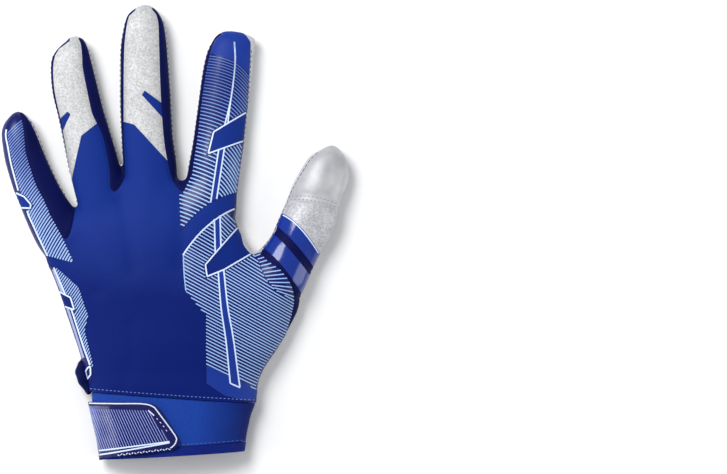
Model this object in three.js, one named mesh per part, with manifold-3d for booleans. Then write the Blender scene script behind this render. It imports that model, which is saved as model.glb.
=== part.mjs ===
// A receiver glove for the left hand, lying palm down. +X is the thumb side, +Y the fingertips and +Z the back
// of the hand; the origin is on the surface it lies on, under the middle of its outline. Lengths are millimetres.
// The glove is a hollow skin: a palm skin up to the side seam, a stretch back above it with strips between the
// fingers, bonded films over the back, and a wrist cuff with a hem and a closing strap.
import * as THREE from "three";
import { mergeVertices } from "three/addons/utils/BufferGeometryUtils.js";
import Module from "manifold-3d";

const wasm = await Module();
wasm.setup();

// The hand
const PALM_WIDTH = 88;
const PALM_LENGTH = 114;
const PALM_RISE = 17.5;
const SEAM_HEIGHT = 7.5;

// The fingers: root inside the palm to tip, width over the knuckle, height of the back above the side seam
const PINKY_LENGTH = 82;
const RING_LENGTH = 99.5;
const MIDDLE_LENGTH = 114.5;
const INDEX_LENGTH = 104.5;
const THUMB_LENGTH = 91;
const PINKY_WIDTH = 22;
const RING_WIDTH = 25;
const MIDDLE_WIDTH = 26;
const INDEX_WIDTH = 26;
const THUMB_WIDTH = 28;
const FINGER_RISE = 8;
const THUMB_RISE = 10.5;

// The wrist
const CUFF_WIDTH = 84;
const CUFF_LENGTH = 31;
const CUFF_RISE = 14.5;
const CUFF_DEPTH = 5.1;
const HEM_HEIGHT = 5;
const STRAP_HEIGHT = 30.9;
const STRAP_REACH = 47;
const STRAP_UNDER = 20;
const STRAP_NOSE = 13;
const STRAP_CORNER = 6;
const GUSSET_BULGE = 2.6;
const GUSSET_WIDTH = 4.6;
const GUSSET_HEIGHT = 9;

// Layers and joints between pieces
const FILM_THICKNESS = 0.5;
const FABRIC_WALL = 1.3;
const PALM_WALL = 1.6;
const CUFF_WALL = 2;
const STRAP_THICKNESS = 1.8;
const GAP = 0.3;

// How finely the round forms are faceted
const FINGER_SIDES = 12;
const PALM_SIDES = 20;
const LINE_STEPS = 4;
const TOP_ROUNDNESS = 2.15;
const UNDER_ROUNDNESS = 2.8;
const FAR = 400;
const WELD = 0.0001;

// One row for each section of a finger. t: share of the length from root to tip. left, right: reach to either
// side of the axis, and seamL, seamR: where the back is sewn to the side strips, as shares of the width.
// top: share of the rise. under: share of the depth to the surface, where over 1 lies flat on it.
const PINKY = {
  length: PINKY_LENGTH, width: PINKY_WIDTH, rise: FINGER_RISE, lean: -17.7, root: [-0.626, 0.63], crest: -0.13,
  rows: [
    { t: 0.0, left: 0.28, right: 0.4, top: 1.0, under: 1.1, seamR: 0.16 },
    { t: 0.15, left: 0.49, right: 0.55, top: 1.3, under: 1.2, seamR: 0.13 },
    { t: 0.3, left: 0.57, right: 0.575, top: 1.25, under: 1.1, seamR: 0.03 },
    { t: 0.42, left: 0.605, right: 0.465, top: 1.15, under: 0.95, seamR: -0.02 },
    { t: 0.7, left: 0.63, right: 0.325, top: 1.0, under: 0.95, seamR: -0.09 },
    { t: 0.82, left: 0.57, right: 0.315, top: 0.95, under: 1.15, seamR: -0.02 },
    { t: 0.9, left: 0.505, right: 0.275, top: 0.85, under: 1.15, seamR: 0.04 },
    { t: 0.95, left: 0.375, right: 0.21, top: 0.65, under: 0.9, seamR: 0.05 },
    { t: 0.985, left: 0.18, right: 0.13, top: 0.38, under: 0.5, seamR: 0.05 },
  ],
};
const RING = {
  length: RING_LENGTH, width: RING_WIDTH, rise: FINGER_RISE, lean: -9.6, root: [-0.378, 0.798], crest: -0.17,
  rows: [
    { t: 0.0, left: 0.4, right: 0.4, top: 1.15, under: 1.1, seamL: -0.58, seamR: 0.18 },
    { t: 0.15, left: 0.54, right: 0.495, top: 1.4, under: 1.2, seamL: -0.58, seamR: 0.18 },
    { t: 0.3, left: 0.585, right: 0.47, top: 1.25, under: 1.1, seamL: -0.575, seamR: 0.25 },
    { t: 0.45, left: 0.605, right: 0.4, top: 1.1, under: 0.95, seamL: -0.575, seamR: 0.23 },
    { t: 0.6, left: 0.63, right: 0.33, top: 1.0, under: 0.88, seamL: -0.59, seamR: 0.08 },
    { t: 0.72, left: 0.665, right: 0.3, top: 0.98, under: 0.95, seamL: -0.61, seamR: 0.06 },
    { t: 0.82, left: 0.64, right: 0.275, top: 0.95, under: 1.15, seamL: -0.58, seamR: 0.05 },
    { t: 0.9, left: 0.57, right: 0.255, top: 0.85, under: 1.15, seamL: -0.505, seamR: 0.08 },
    { t: 0.95, left: 0.41, right: 0.225, top: 0.65, under: 0.9, seamL: -0.36, seamR: 0.09 },
    { t: 0.985, left: 0.17, right: 0.14, top: 0.38, under: 0.5, seamL: -0.1, seamR: 0.06 },
  ],
};
const MIDDLE = {
  length: MIDDLE_LENGTH, width: MIDDLE_WIDTH, rise: FINGER_RISE, lean: -1.6, root: [-0.118, 0.798], crest: -0.05,
  rows: [
    { t: 0.0, left: 0.4, right: 0.4, top: 1.35, under: 1.1, seamL: -0.47, seamR: 0.5 },
    { t: 0.15, left: 0.52, right: 0.54, top: 1.4, under: 1.2, seamL: -0.48, seamR: 0.49 },
    { t: 0.25, left: 0.53, right: 0.545, top: 1.3, under: 1.1, seamL: -0.49, seamR: 0.39 },
    { t: 0.4, left: 0.55, right: 0.48, top: 1.12, under: 0.95, seamL: -0.5, seamR: 0.3 },
    { t: 0.55, left: 0.56, right: 0.46, top: 1.0, under: 0.88, seamL: -0.48, seamR: 0.27 },
    { t: 0.82, left: 0.51, right: 0.42, top: 0.95, under: 1.15, seamL: -0.43, seamR: 0.26 },
    { t: 0.9, left: 0.44, right: 0.385, top: 0.85, under: 1.15, seamL: -0.38, seamR: 0.26 },
    { t: 0.95, left: 0.375, right: 0.31, top: 0.65, under: 0.9, seamL: -0.32, seamR: 0.22 },
    { t: 0.985, left: 0.2, right: 0.18, top: 0.38, under: 0.5, seamL: -0.16, seamR: 0.12 },
  ],
};
const INDEX = {
  length: INDEX_LENGTH, width: INDEX_WIDTH, rise: FINGER_RISE, lean: 7.2, root: [0.236, 0.767], crest: -0.1,
  rows: [
    { t: 0.0, left: 0.4, right: 0.36, top: 1.15, under: 1.1, seamL: -0.53 },
    { t: 0.12, left: 0.58, right: 0.435, top: 1.42, under: 1.2, seamL: -0.53 },
    { t: 0.22, left: 0.635, right: 0.41, top: 1.32, under: 1.15, seamL: -0.53 },
    { t: 0.32, left: 0.615, right: 0.41, top: 1.2, under: 1.05, seamL: -0.52 },
    { t: 0.45, left: 0.59, right: 0.42, top: 1.06, under: 0.92, seamL: -0.512 },
    { t: 0.6, left: 0.585, right: 0.41, top: 1.0, under: 0.88, seamL: -0.517 },
    { t: 0.86, left: 0.55, right: 0.39, top: 0.95, under: 1.15, seamL: -0.48 },
    { t: 0.94, left: 0.46, right: 0.38, top: 0.8, under: 1.1, seamL: -0.42 },
    { t: 0.965, left: 0.41, right: 0.41, top: 0.66, under: 0.9, seamL: -0.36 },
    { t: 0.99, left: 0.3, right: 0.3, top: 0.42, under: 0.55, seamL: -0.26 },
  ],
};
const THUMB = {
  length: THUMB_LENGTH, width: THUMB_WIDTH, rise: THUMB_RISE, lean: 24.2, root: [0.532, 0.433], crest: 0.1,
  rows: [
    { t: 0.0, left: 0.4, right: 0.4, top: 1.0, under: 1.1 },
    { t: 0.1, left: 0.57, right: 0.555, top: 1.25, under: 1.2 },
    { t: 0.2, left: 0.59, right: 0.59, top: 1.15, under: 1.15 },
    { t: 0.3, left: 0.445, right: 0.58, top: 1.05, under: 1.0 },
    { t: 0.4, left: 0.37, right: 0.59, top: 1.0, under: 0.92 },
    { t: 0.6, left: 0.38, right: 0.625, top: 1.0, under: 0.95 },
    { t: 0.7, left: 0.4, right: 0.545, top: 0.98, under: 1.1 },
    { t: 0.87, left: 0.345, right: 0.49, top: 0.85, under: 1.1 },
    { t: 0.93, left: 0.235, right: 0.385, top: 0.68, under: 0.9 },
    { t: 0.97, left: 0.13, right: 0.265, top: 0.48, under: 0.6 },
    { t: 0.995, left: 0.07, right: 0.15, top: 0.3, under: 0.35 },
  ],
};

// Sections across the hand. y: share of the palm's length from the cuff seam. left, right: reach to either side,
// as shares of the palm's width. wrist: how far the row follows the cuff's width and rise and not the palm's.
const PALM_CREST = -0.05;
const PALM_ROWS = [
  { y: -0.1, left: 0.515, right: 0.525, top: 0.98, under: 0.68, wrist: 1 },
  { y: -0.02, left: 0.515, right: 0.525, top: 1.02, under: 0.68, wrist: 1 },
  { y: 0.064, left: 0.513, right: 0.525, top: 1.05, under: 0.8, wrist: 0.8 },
  { y: 0.132, left: 0.522, right: 0.548, top: 1.0, under: 1.0, wrist: 0.5 },
  { y: 0.228, left: 0.548, right: 0.62, top: 1.0, under: 1.15, wrist: 0.15 },
  { y: 0.456, left: 0.645, right: 0.757, top: 1.0, under: 1.2, wrist: 0 },
  { y: 0.543, left: 0.684, right: 0.705, top: 0.98, under: 1.2, wrist: 0 },
  { y: 0.63, left: 0.735, right: 0.53, top: 0.91, under: 1.2, wrist: 0 },
  { y: 0.7, left: 0.75, right: 0.457, top: 0.85, under: 1.2, wrist: 0 },
  { y: 0.8, left: 0.64, right: 0.385, top: 0.76, under: 1.2, wrist: 0 },
  { y: 0.875, left: 0.58, right: 0.36, top: 0.67, under: 1.2, wrist: 0 },
  { y: 0.93, left: 0.38, right: 0.33, top: 0.58, under: 1.1, wrist: 0 },
  { y: 1.0, left: 0.33, right: 0.12, top: 0.48, under: 1.1, wrist: 0 },
];

// Sections across the cuff, as shares of its length below the seam, its width, its rise and its depth
const CUFF_ROWS = [
  { y: 0.3, left: 0.495, right: 0.525, top: 1.0, under: 1 },
  { y: 0.0, left: 0.493, right: 0.522, top: 1.0, under: 1 },
  { y: -0.28, left: 0.473, right: 0.49, top: 1.02, under: 1 },
  { y: -0.65, left: 0.442, right: 0.463, top: 1.04, under: 1 },
  { y: -1.15, left: 0.415, right: 0.44, top: 1.02, under: 1 },
];

// Where the finger's axis starts and which way it runs, seen from above
function axisOf(finger) {
  const lean = THREE.MathUtils.degToRad(finger.lean);
  return {
    root: new THREE.Vector2(finger.root[0] * PALM_WIDTH, finger.root[1] * PALM_LENGTH),
    along: new THREE.Vector2(Math.sin(lean), Math.cos(lean)),
    across: new THREE.Vector2(Math.cos(lean), -Math.sin(lean)),
  };
}

// A point on a finger: share of its length from the root, and share of its width to the right of its axis
function on(finger, t, side) {
  const { root, along, across } = axisOf(finger);
  return root.addScaledVector(along, t * finger.length).addScaledVector(across, side * finger.width);
}

// A point on the hand, as shares of the palm's width and length
const hand = (u, v) => new THREE.Vector2(u * PALM_WIDTH, v * PALM_LENGTH);

// A point on the cuff, as shares of its width and of its length below the seam
const wrist = (u, v) => new THREE.Vector2(u * CUFF_WIDTH, v * CUFF_LENGTH);

// A table's value between its rows
function read(rows, key, at, column) {
  const after = rows.findIndex((row) => row[key] >= at);
  if (after === 0) return rows[0][column];
  if (after < 0) return rows[rows.length - 1][column];
  const [a, b] = [rows[after - 1], rows[after]];
  return THREE.MathUtils.mapLinear(at, a[key], b[key], a[column], b[column]);
}

// A solid from shared vertices and triangles, turned to face out
function solidFrom(positions, triangles) {
  const make = (triVerts) => new wasm.Manifold(new wasm.Mesh({
    numProp: 3, vertProperties: new Float32Array(positions), triVerts: new Uint32Array(triVerts),
  }));
  const made = make(triangles);
  if (made.volume() > 0) return made;
  return make([...triangles].reverse());
}

// A closed loft through round sections that all have their widest points at the side seam
function loft(sections, sides) {
  const positions = [];
  for (const s of sections) {
    for (let k = 0; k < sides; k += 1) {
      const angle = (2 * Math.PI * k) / sides;
      const roundness = angle < Math.PI ? TOP_ROUNDNESS : UNDER_ROUNDNESS;
      const bow = (value) => Math.sign(value) * Math.abs(value) ** (2 / roundness);
      const c = bow(Math.cos(angle));
      const h = bow(Math.sin(angle));
      const side = s.crest + c * (c > 0 ? s.right - s.crest : s.left + s.crest);
      const height = SEAM_HEIGHT + h * (h > 0 ? s.top : s.depth);
      positions.push(s.centre.x + side * s.across.x, s.centre.y + side * s.across.y, height);
    }
  }
  const triangles = [];
  const last = (sections.length - 1) * sides;
  for (let k = 0; k < sides; k += 1) {
    const next = (k + 1) % sides;
    for (let r = 0; r < last; r += sides) {
      triangles.push(r + k, r + next, r + sides + k, r + next, r + sides + next, r + sides + k);
    }
  }
  for (const end of [0, last]) {
    const s = sections[end / sides];
    const middle = positions.length / 3;
    positions.push(s.centre.x + s.crest * s.across.x, s.centre.y + s.crest * s.across.y, SEAM_HEIGHT);
    for (let k = 0; k < sides; k += 1) {
      const pair = [end + k, end + ((k + 1) % sides)];
      triangles.push(middle, ...(end === 0 ? pair.reverse() : pair));
    }
  }
  return solidFrom(positions, triangles);
}

// A finger's form, drawn in by an inset
function fingerForm(finger, inset) {
  const { across } = axisOf(finger);
  const edge = inset / finger.length;
  const sections = finger.rows.map((row) => ({
    centre: on(finger, THREE.MathUtils.lerp(edge, 1 - edge, row.t), 0),
    across,
    crest: finger.crest * finger.width,
    left: row.left * finger.width - inset,
    right: row.right * finger.width - inset,
    top: row.top * finger.rise - inset,
    depth: row.under * SEAM_HEIGHT - inset,
  }));
  return loft(sections, FINGER_SIDES);
}

// A form that runs along Y, such as the palm or the cuff, drawn in by an inset
function wristForm(rows, inset, size) {
  const sections = rows.map((row) => {
    const { width, length, rise, depth } = size(row);
    const crest = PALM_CREST * width;
    return {
      centre: new THREE.Vector2(0, row.y * (length - inset)),
      across: new THREE.Vector2(1, 0),
      crest,
      left: row.left * width - inset,
      right: row.right * width - inset,
      top: row.top * rise - inset,
      depth: row.under * depth - inset,
    };
  });
  return loft(sections, PALM_SIDES);
}
const palmForm = (inset) => wristForm(PALM_ROWS, inset, (row) => ({
  width: THREE.MathUtils.lerp(PALM_WIDTH, CUFF_WIDTH, row.wrist),
  length: PALM_LENGTH,
  rise: THREE.MathUtils.lerp(PALM_RISE, CUFF_RISE, row.wrist),
  depth: SEAM_HEIGHT,
}));
const cuffForm = (inset) => wristForm(CUFF_ROWS, inset, () => ({
  width: CUFF_WIDTH, length: CUFF_LENGTH, rise: CUFF_RISE, depth: CUFF_DEPTH,
}));

// The closed outline as an upright prism between two heights
function prism(outline, low, high) {
  const shape = new THREE.Shape(outline);
  const geometry = new THREE.ExtrudeGeometry(shape, { depth: high - low, bevelEnabled: false });
  geometry.deleteAttribute("normal");
  geometry.deleteAttribute("uv");
  const merged = mergeVertices(geometry.translate(0, 0, low), WELD);
  return solidFrom(merged.attributes.position.array, merged.index.array);
}

// The outline moved out by a distance, or in by a negative one
function grown(outline, distance) {
  const turn = THREE.ShapeUtils.isClockWise(outline) ? -1 : 1;
  return outline.map((point, i) => {
    const before = outline[(i + outline.length - 1) % outline.length];
    const after = outline[(i + 1) % outline.length];
    const a = point.clone().sub(before).normalize();
    const b = after.clone().sub(point).normalize();
    const out = new THREE.Vector2(a.y + b.y, -a.x - b.x).normalize().multiplyScalar(turn);
    const square = Math.max(Math.sqrt((1 + a.dot(b)) / 2), 0.5);
    return point.clone().addScaledVector(out, distance / square);
  });
}

const union = (solids) => solids.reduce((all, one) => all.add(one));

// A smooth line through a few points
const curve = (points, steps = LINE_STEPS) => new THREE.SplineCurve(points).getPoints(steps * (points.length - 1));

// A line bowed from one point to another past a middle point
function bowed(from, middle, to) {
  const pull = middle.clone().multiplyScalar(2).sub(from.clone().add(to).multiplyScalar(0.5));
  return new THREE.QuadraticBezierCurve(from, pull, to).getPoints(LINE_STEPS);
}

// A corner rounded between its two sides
function rounded(before, corner, after, radius) {
  const from = corner.clone().add(before.clone().sub(corner).setLength(radius));
  const to = corner.clone().add(after.clone().sub(corner).setLength(radius));
  return new THREE.QuadraticBezierCurve(from, corner, to).getPoints(LINE_STEPS);
}

// A finger's sewn line on one side, between two shares of its length
function seam(finger, side, from, to) {
  const inside = finger.rows.map((row) => row.t).filter((t) => t > Math.min(from, to) && t < Math.max(from, to));
  if (to < from) inside.reverse();
  return [from, ...inside, to].map((t) => on(finger, t, read(finger.rows, "t", t, side)));
}

// The hollow skin in three layers, each from the side seam up or down
const FAR_BELOW = -FAR;
const BACK_LOW = SEAM_HEIGHT + GAP / 2;
const PALM_HIGH = SEAM_HEIGHT - GAP / 2;
const fabricInset = FILM_THICKNESS + GAP;
const cavityInset = fabricInset + FABRIC_WALL;
const everywhere = [[-FAR, -FAR], [FAR, -FAR], [FAR, FAR], [-FAR, FAR]].map(([x, y]) => new THREE.Vector2(x, y));
const above = (height) => prism(everywhere, height, FAR);
const below = (height) => prism(everywhere, FAR_BELOW, height);
const handForm = (inset, floor) => union([
  palmForm(inset), ...[PINKY, RING, MIDDLE, INDEX, THUMB].map((finger) => fingerForm(finger, inset)),
]).intersect(above(floor));

// The sewn line between hand and cuff, and the cuff's two lower lines, from the gusset side to the thumb side
const seamLine = bowed(wrist(-0.7, 0.2), wrist(0.02, 0.05), wrist(0.75, -0.07));
const lowered = (line, drop) => line.map((point) => point.clone().sub(new THREE.Vector2(0, drop)));
const cuffEnd = bowed(wrist(-0.7, -1.02), wrist(0.02, -0.92), wrist(0.7, -0.8));
const hemTop = lowered(cuffEnd, -HEM_HEIGHT);
const beyond = (line) => [...line, new THREE.Vector2(FAR, FAR), new THREE.Vector2(-FAR, FAR)];
const handArea = prism(beyond(seamLine), FAR_BELOW, FAR);
const band = (high, low) => prism([...high, ...[...low].reverse()], FAR_BELOW, FAR);

const nominal = handForm(0, 0).intersect(handArea);
const cavity = handForm(cavityInset, PALM_WALL);
const palmSkin = nominal.subtract(cavity).intersect(below(PALM_HIGH));
const backSkin = handForm(fabricInset, 0).intersect(handArea).subtract(cavity).intersect(above(BACK_LOW));
const filmSkin = nominal.subtract(handForm(FILM_THICKNESS, 0)).intersect(above(BACK_LOW));

// The strip between two fingers, from past one tip round the crotch to past the other. left, right: where it
// leaves each finger, as shares of their lengths. u, v: its foot, as shares of the palm.
const PAST_TIP = 1.04;
function stripOutline(leftFinger, rightFinger, crotch) {
  const down = seam(leftFinger, "seamR", PAST_TIP, crotch.left);
  const up = seam(rightFinger, "seamL", crotch.right, PAST_TIP);
  const foot = bowed(down[down.length - 1], hand(crotch.u, crotch.v), up[0]);
  return [...down, ...foot.slice(1, -1), ...up];
}
const strips = [
  { name: "strip_pinky_ring", outline: stripOutline(PINKY, RING, { left: 0.18, right: 0.12, u: -0.6, v: 0.748 }) },
  {
    name: "strip_ring_middle",
    outline: stripOutline(RING, MIDDLE, { left: 0.2, right: 0.22, u: -0.325, v: 0.952 }),
  },
  {
    name: "strip_middle_index",
    outline: stripOutline(MIDDLE, INDEX, { left: 0.2, right: 0.26, u: 0.072, v: 0.952 }),
  },
];

// The line where the thumb's own back is sewn to the hand
const thumbLine = curve([
  on(THUMB, 0.42, -0.95), on(THUMB, 0.268, -0.4), on(THUMB, 0.216, 0.152),
  on(THUMB, 0.102, 0.511), on(THUMB, -0.161, 0.66),
]);
const thumbArea = [...thumbLine, on(THUMB, -0.1, 2.4), on(THUMB, 1.4, 2.4), on(THUMB, 1.4, -0.95)];

// Lines across the back of the thumb, at its left edge, its axis and its right edge
const THUMB_LINES = {
  cap: { left: 0.535, middle: 0.635, right: 0.66 },
  patch: { left: 0.515, middle: 0.507, right: 0.37 },
  bandOneLow: { left: 0.455, middle: 0.414, right: 0.29 },
  bandTwoHigh: { left: 0.41, middle: 0.362, right: 0.24 },
  bandTwoLow: { left: 0.305, middle: 0.262, right: 0.12 },
};
const acrossThumb = (row) => bowed(
  on(THUMB, row.left, -0.55), on(THUMB, row.middle, 0), on(THUMB, row.right, 0.75));
const thumbBand = (high, low) => [...acrossThumb(high), ...acrossThumb(low).reverse()];
const beyondCap = [...acrossThumb(THUMB_LINES.cap), on(THUMB, 1.15, 0.75), on(THUMB, 1.15, -0.55)];

// The curved bare band that crosses the films below the index finger
const sweepHigh = bowed(hand(0.059, 0.771), hand(0.205, 0.885), hand(0.381, 0.946));
const sweepLow = bowed(hand(0.069, 0.666), hand(0.21, 0.797), hand(0.377, 0.879));

// Film outlines. Their outer stretches lie beyond the hand's edge, which trims them.
const ringFilm = [
  ...seam(RING, "seamR", PAST_TIP, 0.53), on(RING, 0.48, -0.208),
  ...seam(RING, "seamL", 0.257, PAST_TIP),
];
const ringNotch = [on(RING, 0.57, -0.7), on(RING, 0.616, -0.411), on(RING, 0.6, -0.355), on(RING, 0.48, -0.7)];
const middleFilm = [
  ...seam(MIDDLE, "seamR", PAST_TIP, 0.29), on(MIDDLE, 0.411, -0.101), on(MIDDLE, 0.456, -0.277),
  ...seam(MIDDLE, "seamL", 0.471, PAST_TIP),
];
const middleNotch = [
  on(MIDDLE, 0.455, 0.4), on(MIDDLE, 0.589, -0.107), on(MIDDLE, 0.609, -0.049), on(MIDDLE, 0.53, 0.4),
];
const indexFilm = [
  ...seam(INDEX, "seamL", PAST_TIP, 0.27), hand(0.071, 0.945), hand(0.047, 0.945),
  ...sweepHigh, on(INDEX, 0.2, 0.7), on(INDEX, PAST_TIP, 0.7),
];
const indexNotch = [on(INDEX, 0.475, 0.9), on(INDEX, 0.383, -0.251), on(INDEX, 0.493, -0.194), on(INDEX, 0.68, 0.9)];
const handFilm = [
  ...sweepLow, hand(0.5, 0.92), ...thumbLine, hand(0.7, -0.03), hand(0.413, 0.005), hand(0.313, 0.024),
  hand(0.208, 0.08), hand(0.208, 0.388), hand(0.086, 0.502), hand(0.075, 0.576),
];
const webNotch = [
  hand(0.45, 0.84), hand(0.255, 0.665), hand(0.204, 0.618), hand(0.215, 0.565), hand(0.316, 0.597), hand(0.52, 0.69),
];
const pinkyFilm = [
  ...seam(PINKY, "seamR", PAST_TIP, 0.18), hand(-0.567, 0.626), hand(-0.724, 0.657), hand(-0.87, 0.69),
  on(PINKY, 0.2, -1), on(PINKY, PAST_TIP, -1),
];
const pinkyNotch = [
  on(PINKY, 0.45, -1), on(PINKY, 0.39, -0.381), on(PINKY, 0.41, -0.34), on(PINKY, 0.473, -0.442), on(PINKY, 0.6, -1),
];
const heelFilm = [
  hand(-0.8, 0.622), hand(-0.674, 0.607), hand(-0.54, 0.515), hand(-0.485, 0.388), hand(-0.506, 0.319),
  hand(-0.457, 0.173), hand(-0.473, 0.09), hand(-0.6, 0.09), hand(-0.8, 0.5),
];
const heelNotch = [hand(-0.8, 0.47), hand(-0.8, 0.5), hand(-0.721, 0.52), hand(-0.59, 0.469), hand(-0.568, 0.413)];

// The part of a skin inside an outline, clear of its neighbours, less some openings
function panel(skin, outline, holes = []) {
  const cut = skin.intersect(prism(grown(outline, -GAP / 2), FAR_BELOW, FAR));
  return holes.reduce((left, hole) => left.subtract(prism(grown(hole, GAP / 2), FAR_BELOW, FAR)), cut);
}

// What is left of a skin outside some outlines
const without = (skin, outlines) => outlines.reduce(
  (left, outline) => left.subtract(prism(grown(outline, GAP / 2), FAR_BELOW, FAR)), skin);

// The cuff, its hem and the strap that closes round it
const cuffTube = cuffForm(fabricInset).subtract(cuffForm(fabricInset + CUFF_WALL));
const cuffBand = cuffTube.intersect(band(lowered(seamLine, GAP), hemTop));
const hemTube = cuffForm(0).subtract(cuffForm(fabricInset + CUFF_WALL));
const hemBand = hemTube.intersect(band(lowered(hemTop, GAP), cuffEnd));

const strapHigh = cuffEnd[0].y + STRAP_HEIGHT;
const strapEdge = -CUFF_ROWS[1].left * CUFF_WIDTH;
function strapOutline() {
  const outside = strapEdge - 2 * STRAP_CORNER;
  const nose = strapEdge + STRAP_REACH;
  const corners = [
    new THREE.Vector2(outside, strapHigh),
    new THREE.Vector2(nose - STRAP_NOSE, strapHigh),
    new THREE.Vector2(nose, strapHigh - 0.66 * STRAP_HEIGHT),
    new THREE.Vector2(nose - 0.27 * STRAP_NOSE, strapHigh - 0.78 * STRAP_HEIGHT),
    new THREE.Vector2(outside, strapHigh - 1.01 * STRAP_HEIGHT),
  ];
  return [
    corners[0],
    ...rounded(corners[0], corners[1], corners[2], STRAP_CORNER),
    ...rounded(corners[1], corners[2], corners[3], 0.45 * STRAP_CORNER),
    ...rounded(corners[2], corners[3], corners[4], 0.35 * STRAP_CORNER),
    corners[4],
  ];
}
const strapUnder = [
  [-2 * STRAP_CORNER, 0], [STRAP_UNDER, 0],
  [STRAP_UNDER, -0.94 * STRAP_HEIGHT], [-2 * STRAP_CORNER, -1.01 * STRAP_HEIGHT],
].map(([x, y]) => new THREE.Vector2(strapEdge + x, strapHigh + y));
const strapSkin = cuffForm(-GAP - STRAP_THICKNESS).subtract(cuffForm(-GAP));
const strapBand = strapSkin.intersect(
  prism(strapOutline(), SEAM_HEIGHT, FAR).add(prism(strapUnder, FAR_BELOW, SEAM_HEIGHT)));

// The folded edge of the opening beside the wrist, which bulges out past the heel of the hand.
// y: share of the palm's length. out: share of the bulge.
const GUSSET_ROWS = [
  { y: 0.2, out: 0.1, size: 0.5 },
  { y: 0.165, out: 0.75, size: 0.85 },
  { y: 0.12, out: 1.15, size: 1 },
  { y: 0.085, out: 1.1, size: 1 },
  { y: 0.05, out: 0.75, size: 0.9 },
  { y: 0.02, out: 0.2, size: 0.8 },
];
function gussetForm() {
  const sections = GUSSET_ROWS.map((row) => {
    const width = THREE.MathUtils.lerp(PALM_WIDTH, CUFF_WIDTH, read(PALM_ROWS, "y", row.y, "wrist"));
    const edge = -read(PALM_ROWS, "y", row.y, "left") * width;
    return {
      centre: new THREE.Vector2(edge - row.out * GUSSET_BULGE, row.y * PALM_LENGTH),
      across: new THREE.Vector2(1, 0),
      crest: 0,
      left: (row.size * GUSSET_WIDTH) / 2,
      right: (row.size * GUSSET_WIDTH) / 2,
      top: (row.size * GUSSET_HEIGHT) / 2,
      depth: (row.size * GUSSET_HEIGHT) / 2,
    };
  });
  return loft(sections.reverse(), FINGER_SIDES / 2);
}
const strapSpace = cuffForm(-STRAP_THICKNESS - 2 * GAP).intersect(prism(grown(strapOutline(), GAP), FAR_BELOW, FAR));
const gussetTube = gussetForm().subtract(handForm(-GAP, FAR_BELOW)).subtract(cuffForm(-GAP)).subtract(strapSpace);

// The largest body of a solid, where trimming left crumbs
function largest(solid) {
  return solid.decompose().reduce((best, body) => (body.volume() > best.volume() ? body : best));
}

const royal = new THREE.MeshStandardMaterial({ color: "#1f3a8c", roughness: 0.55, metalness: 0 });
const navy = new THREE.MeshStandardMaterial({ color: "#101c5c", roughness: 0.7, metalness: 0 });
const silver = new THREE.MeshStandardMaterial({ color: "#c8c8ca", roughness: 0.35, metalness: 0.5 });
const printed = new THREE.MeshStandardMaterial({ color: "#6f8fce", roughness: 0.25, metalness: 0 });
const glossy = new THREE.MeshStandardMaterial({ color: "#22409a", roughness: 0.12, metalness: 0 });
const leather = new THREE.MeshStandardMaterial({ color: "#bcbcc0", roughness: 0.4, metalness: 0.1 });

const stripOutlines = strips.map((strip) => strip.outline);
const pieces = [
  { name: "palm_panel", solid: without(palmSkin, [thumbArea]), material: leather },
  { name: "thumb_palm", solid: panel(palmSkin, thumbArea), material: leather },
  { name: "back_panel", solid: without(backSkin, [...stripOutlines, thumbArea]), material: royal },
  { name: "thumb_back", solid: panel(backSkin, thumbArea), material: navy },
  ...strips.map(({ name, outline }) => ({ name, solid: panel(backSkin, outline), material: navy })),
  { name: "ring_film", solid: panel(filmSkin, ringFilm, [ringNotch]), material: silver },
  { name: "middle_film", solid: panel(filmSkin, middleFilm, [middleNotch]), material: silver },
  { name: "index_film", solid: panel(filmSkin, indexFilm, [indexNotch]), material: printed },
  { name: "hand_film", solid: panel(filmSkin, handFilm, [webNotch]), material: printed },
  { name: "pinky_film", solid: panel(filmSkin, pinkyFilm, [pinkyNotch]), material: printed },
  { name: "heel_film", solid: panel(filmSkin, heelFilm, [heelNotch]), material: printed },
  { name: "thumb_cap", solid: panel(filmSkin, beyondCap), material: leather },
  {
    name: "thumb_patch",
    solid: panel(filmSkin, thumbBand(THUMB_LINES.cap, THUMB_LINES.patch)),
    material: silver,
  },
  {
    name: "thumb_band_upper",
    solid: panel(filmSkin, thumbBand(THUMB_LINES.patch, THUMB_LINES.bandOneLow)),
    material: glossy,
  },
  {
    name: "thumb_band_lower",
    solid: panel(filmSkin, thumbBand(THUMB_LINES.bandTwoHigh, THUMB_LINES.bandTwoLow)),
    material: glossy,
  },
  { name: "cuff", solid: cuffBand, material: royal },
  { name: "cuff_hem", solid: hemBand, material: navy },
  { name: "wrist_strap", solid: strapBand, material: printed },
  { name: "side_gusset", solid: gussetTube, material: navy },
];

const glove = new THREE.Group();
for (const { name, solid, material } of pieces) {
  const { vertProperties, triVerts, numProp } = largest(solid).getMesh();
  const geometry = new THREE.BufferGeometry();
  const positions = new Float32Array((vertProperties.length / numProp) * 3);
  for (let i = 0; i < positions.length / 3; i += 1) {
    positions.set(vertProperties.subarray(i * numProp, i * numProp + 3), i * 3);
  }
  geometry.setAttribute("position", new THREE.BufferAttribute(positions, 3));
  geometry.setIndex(new THREE.BufferAttribute(triVerts, 1));
  const mesh = new THREE.Mesh(geometry, material);
  mesh.name = name;
  glove.add(mesh);
}

// The origin goes under the middle of the outline
const outline = new THREE.Box3().setFromObject(glove, true);
const middle = outline.getCenter(new THREE.Vector3());
glove.position.set(-middle.x, -middle.y, -outline.min.z);

export default glove;
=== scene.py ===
import math

import bpy
import numpy as np
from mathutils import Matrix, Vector
from mathutils.bvhtree import BVHTree


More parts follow.
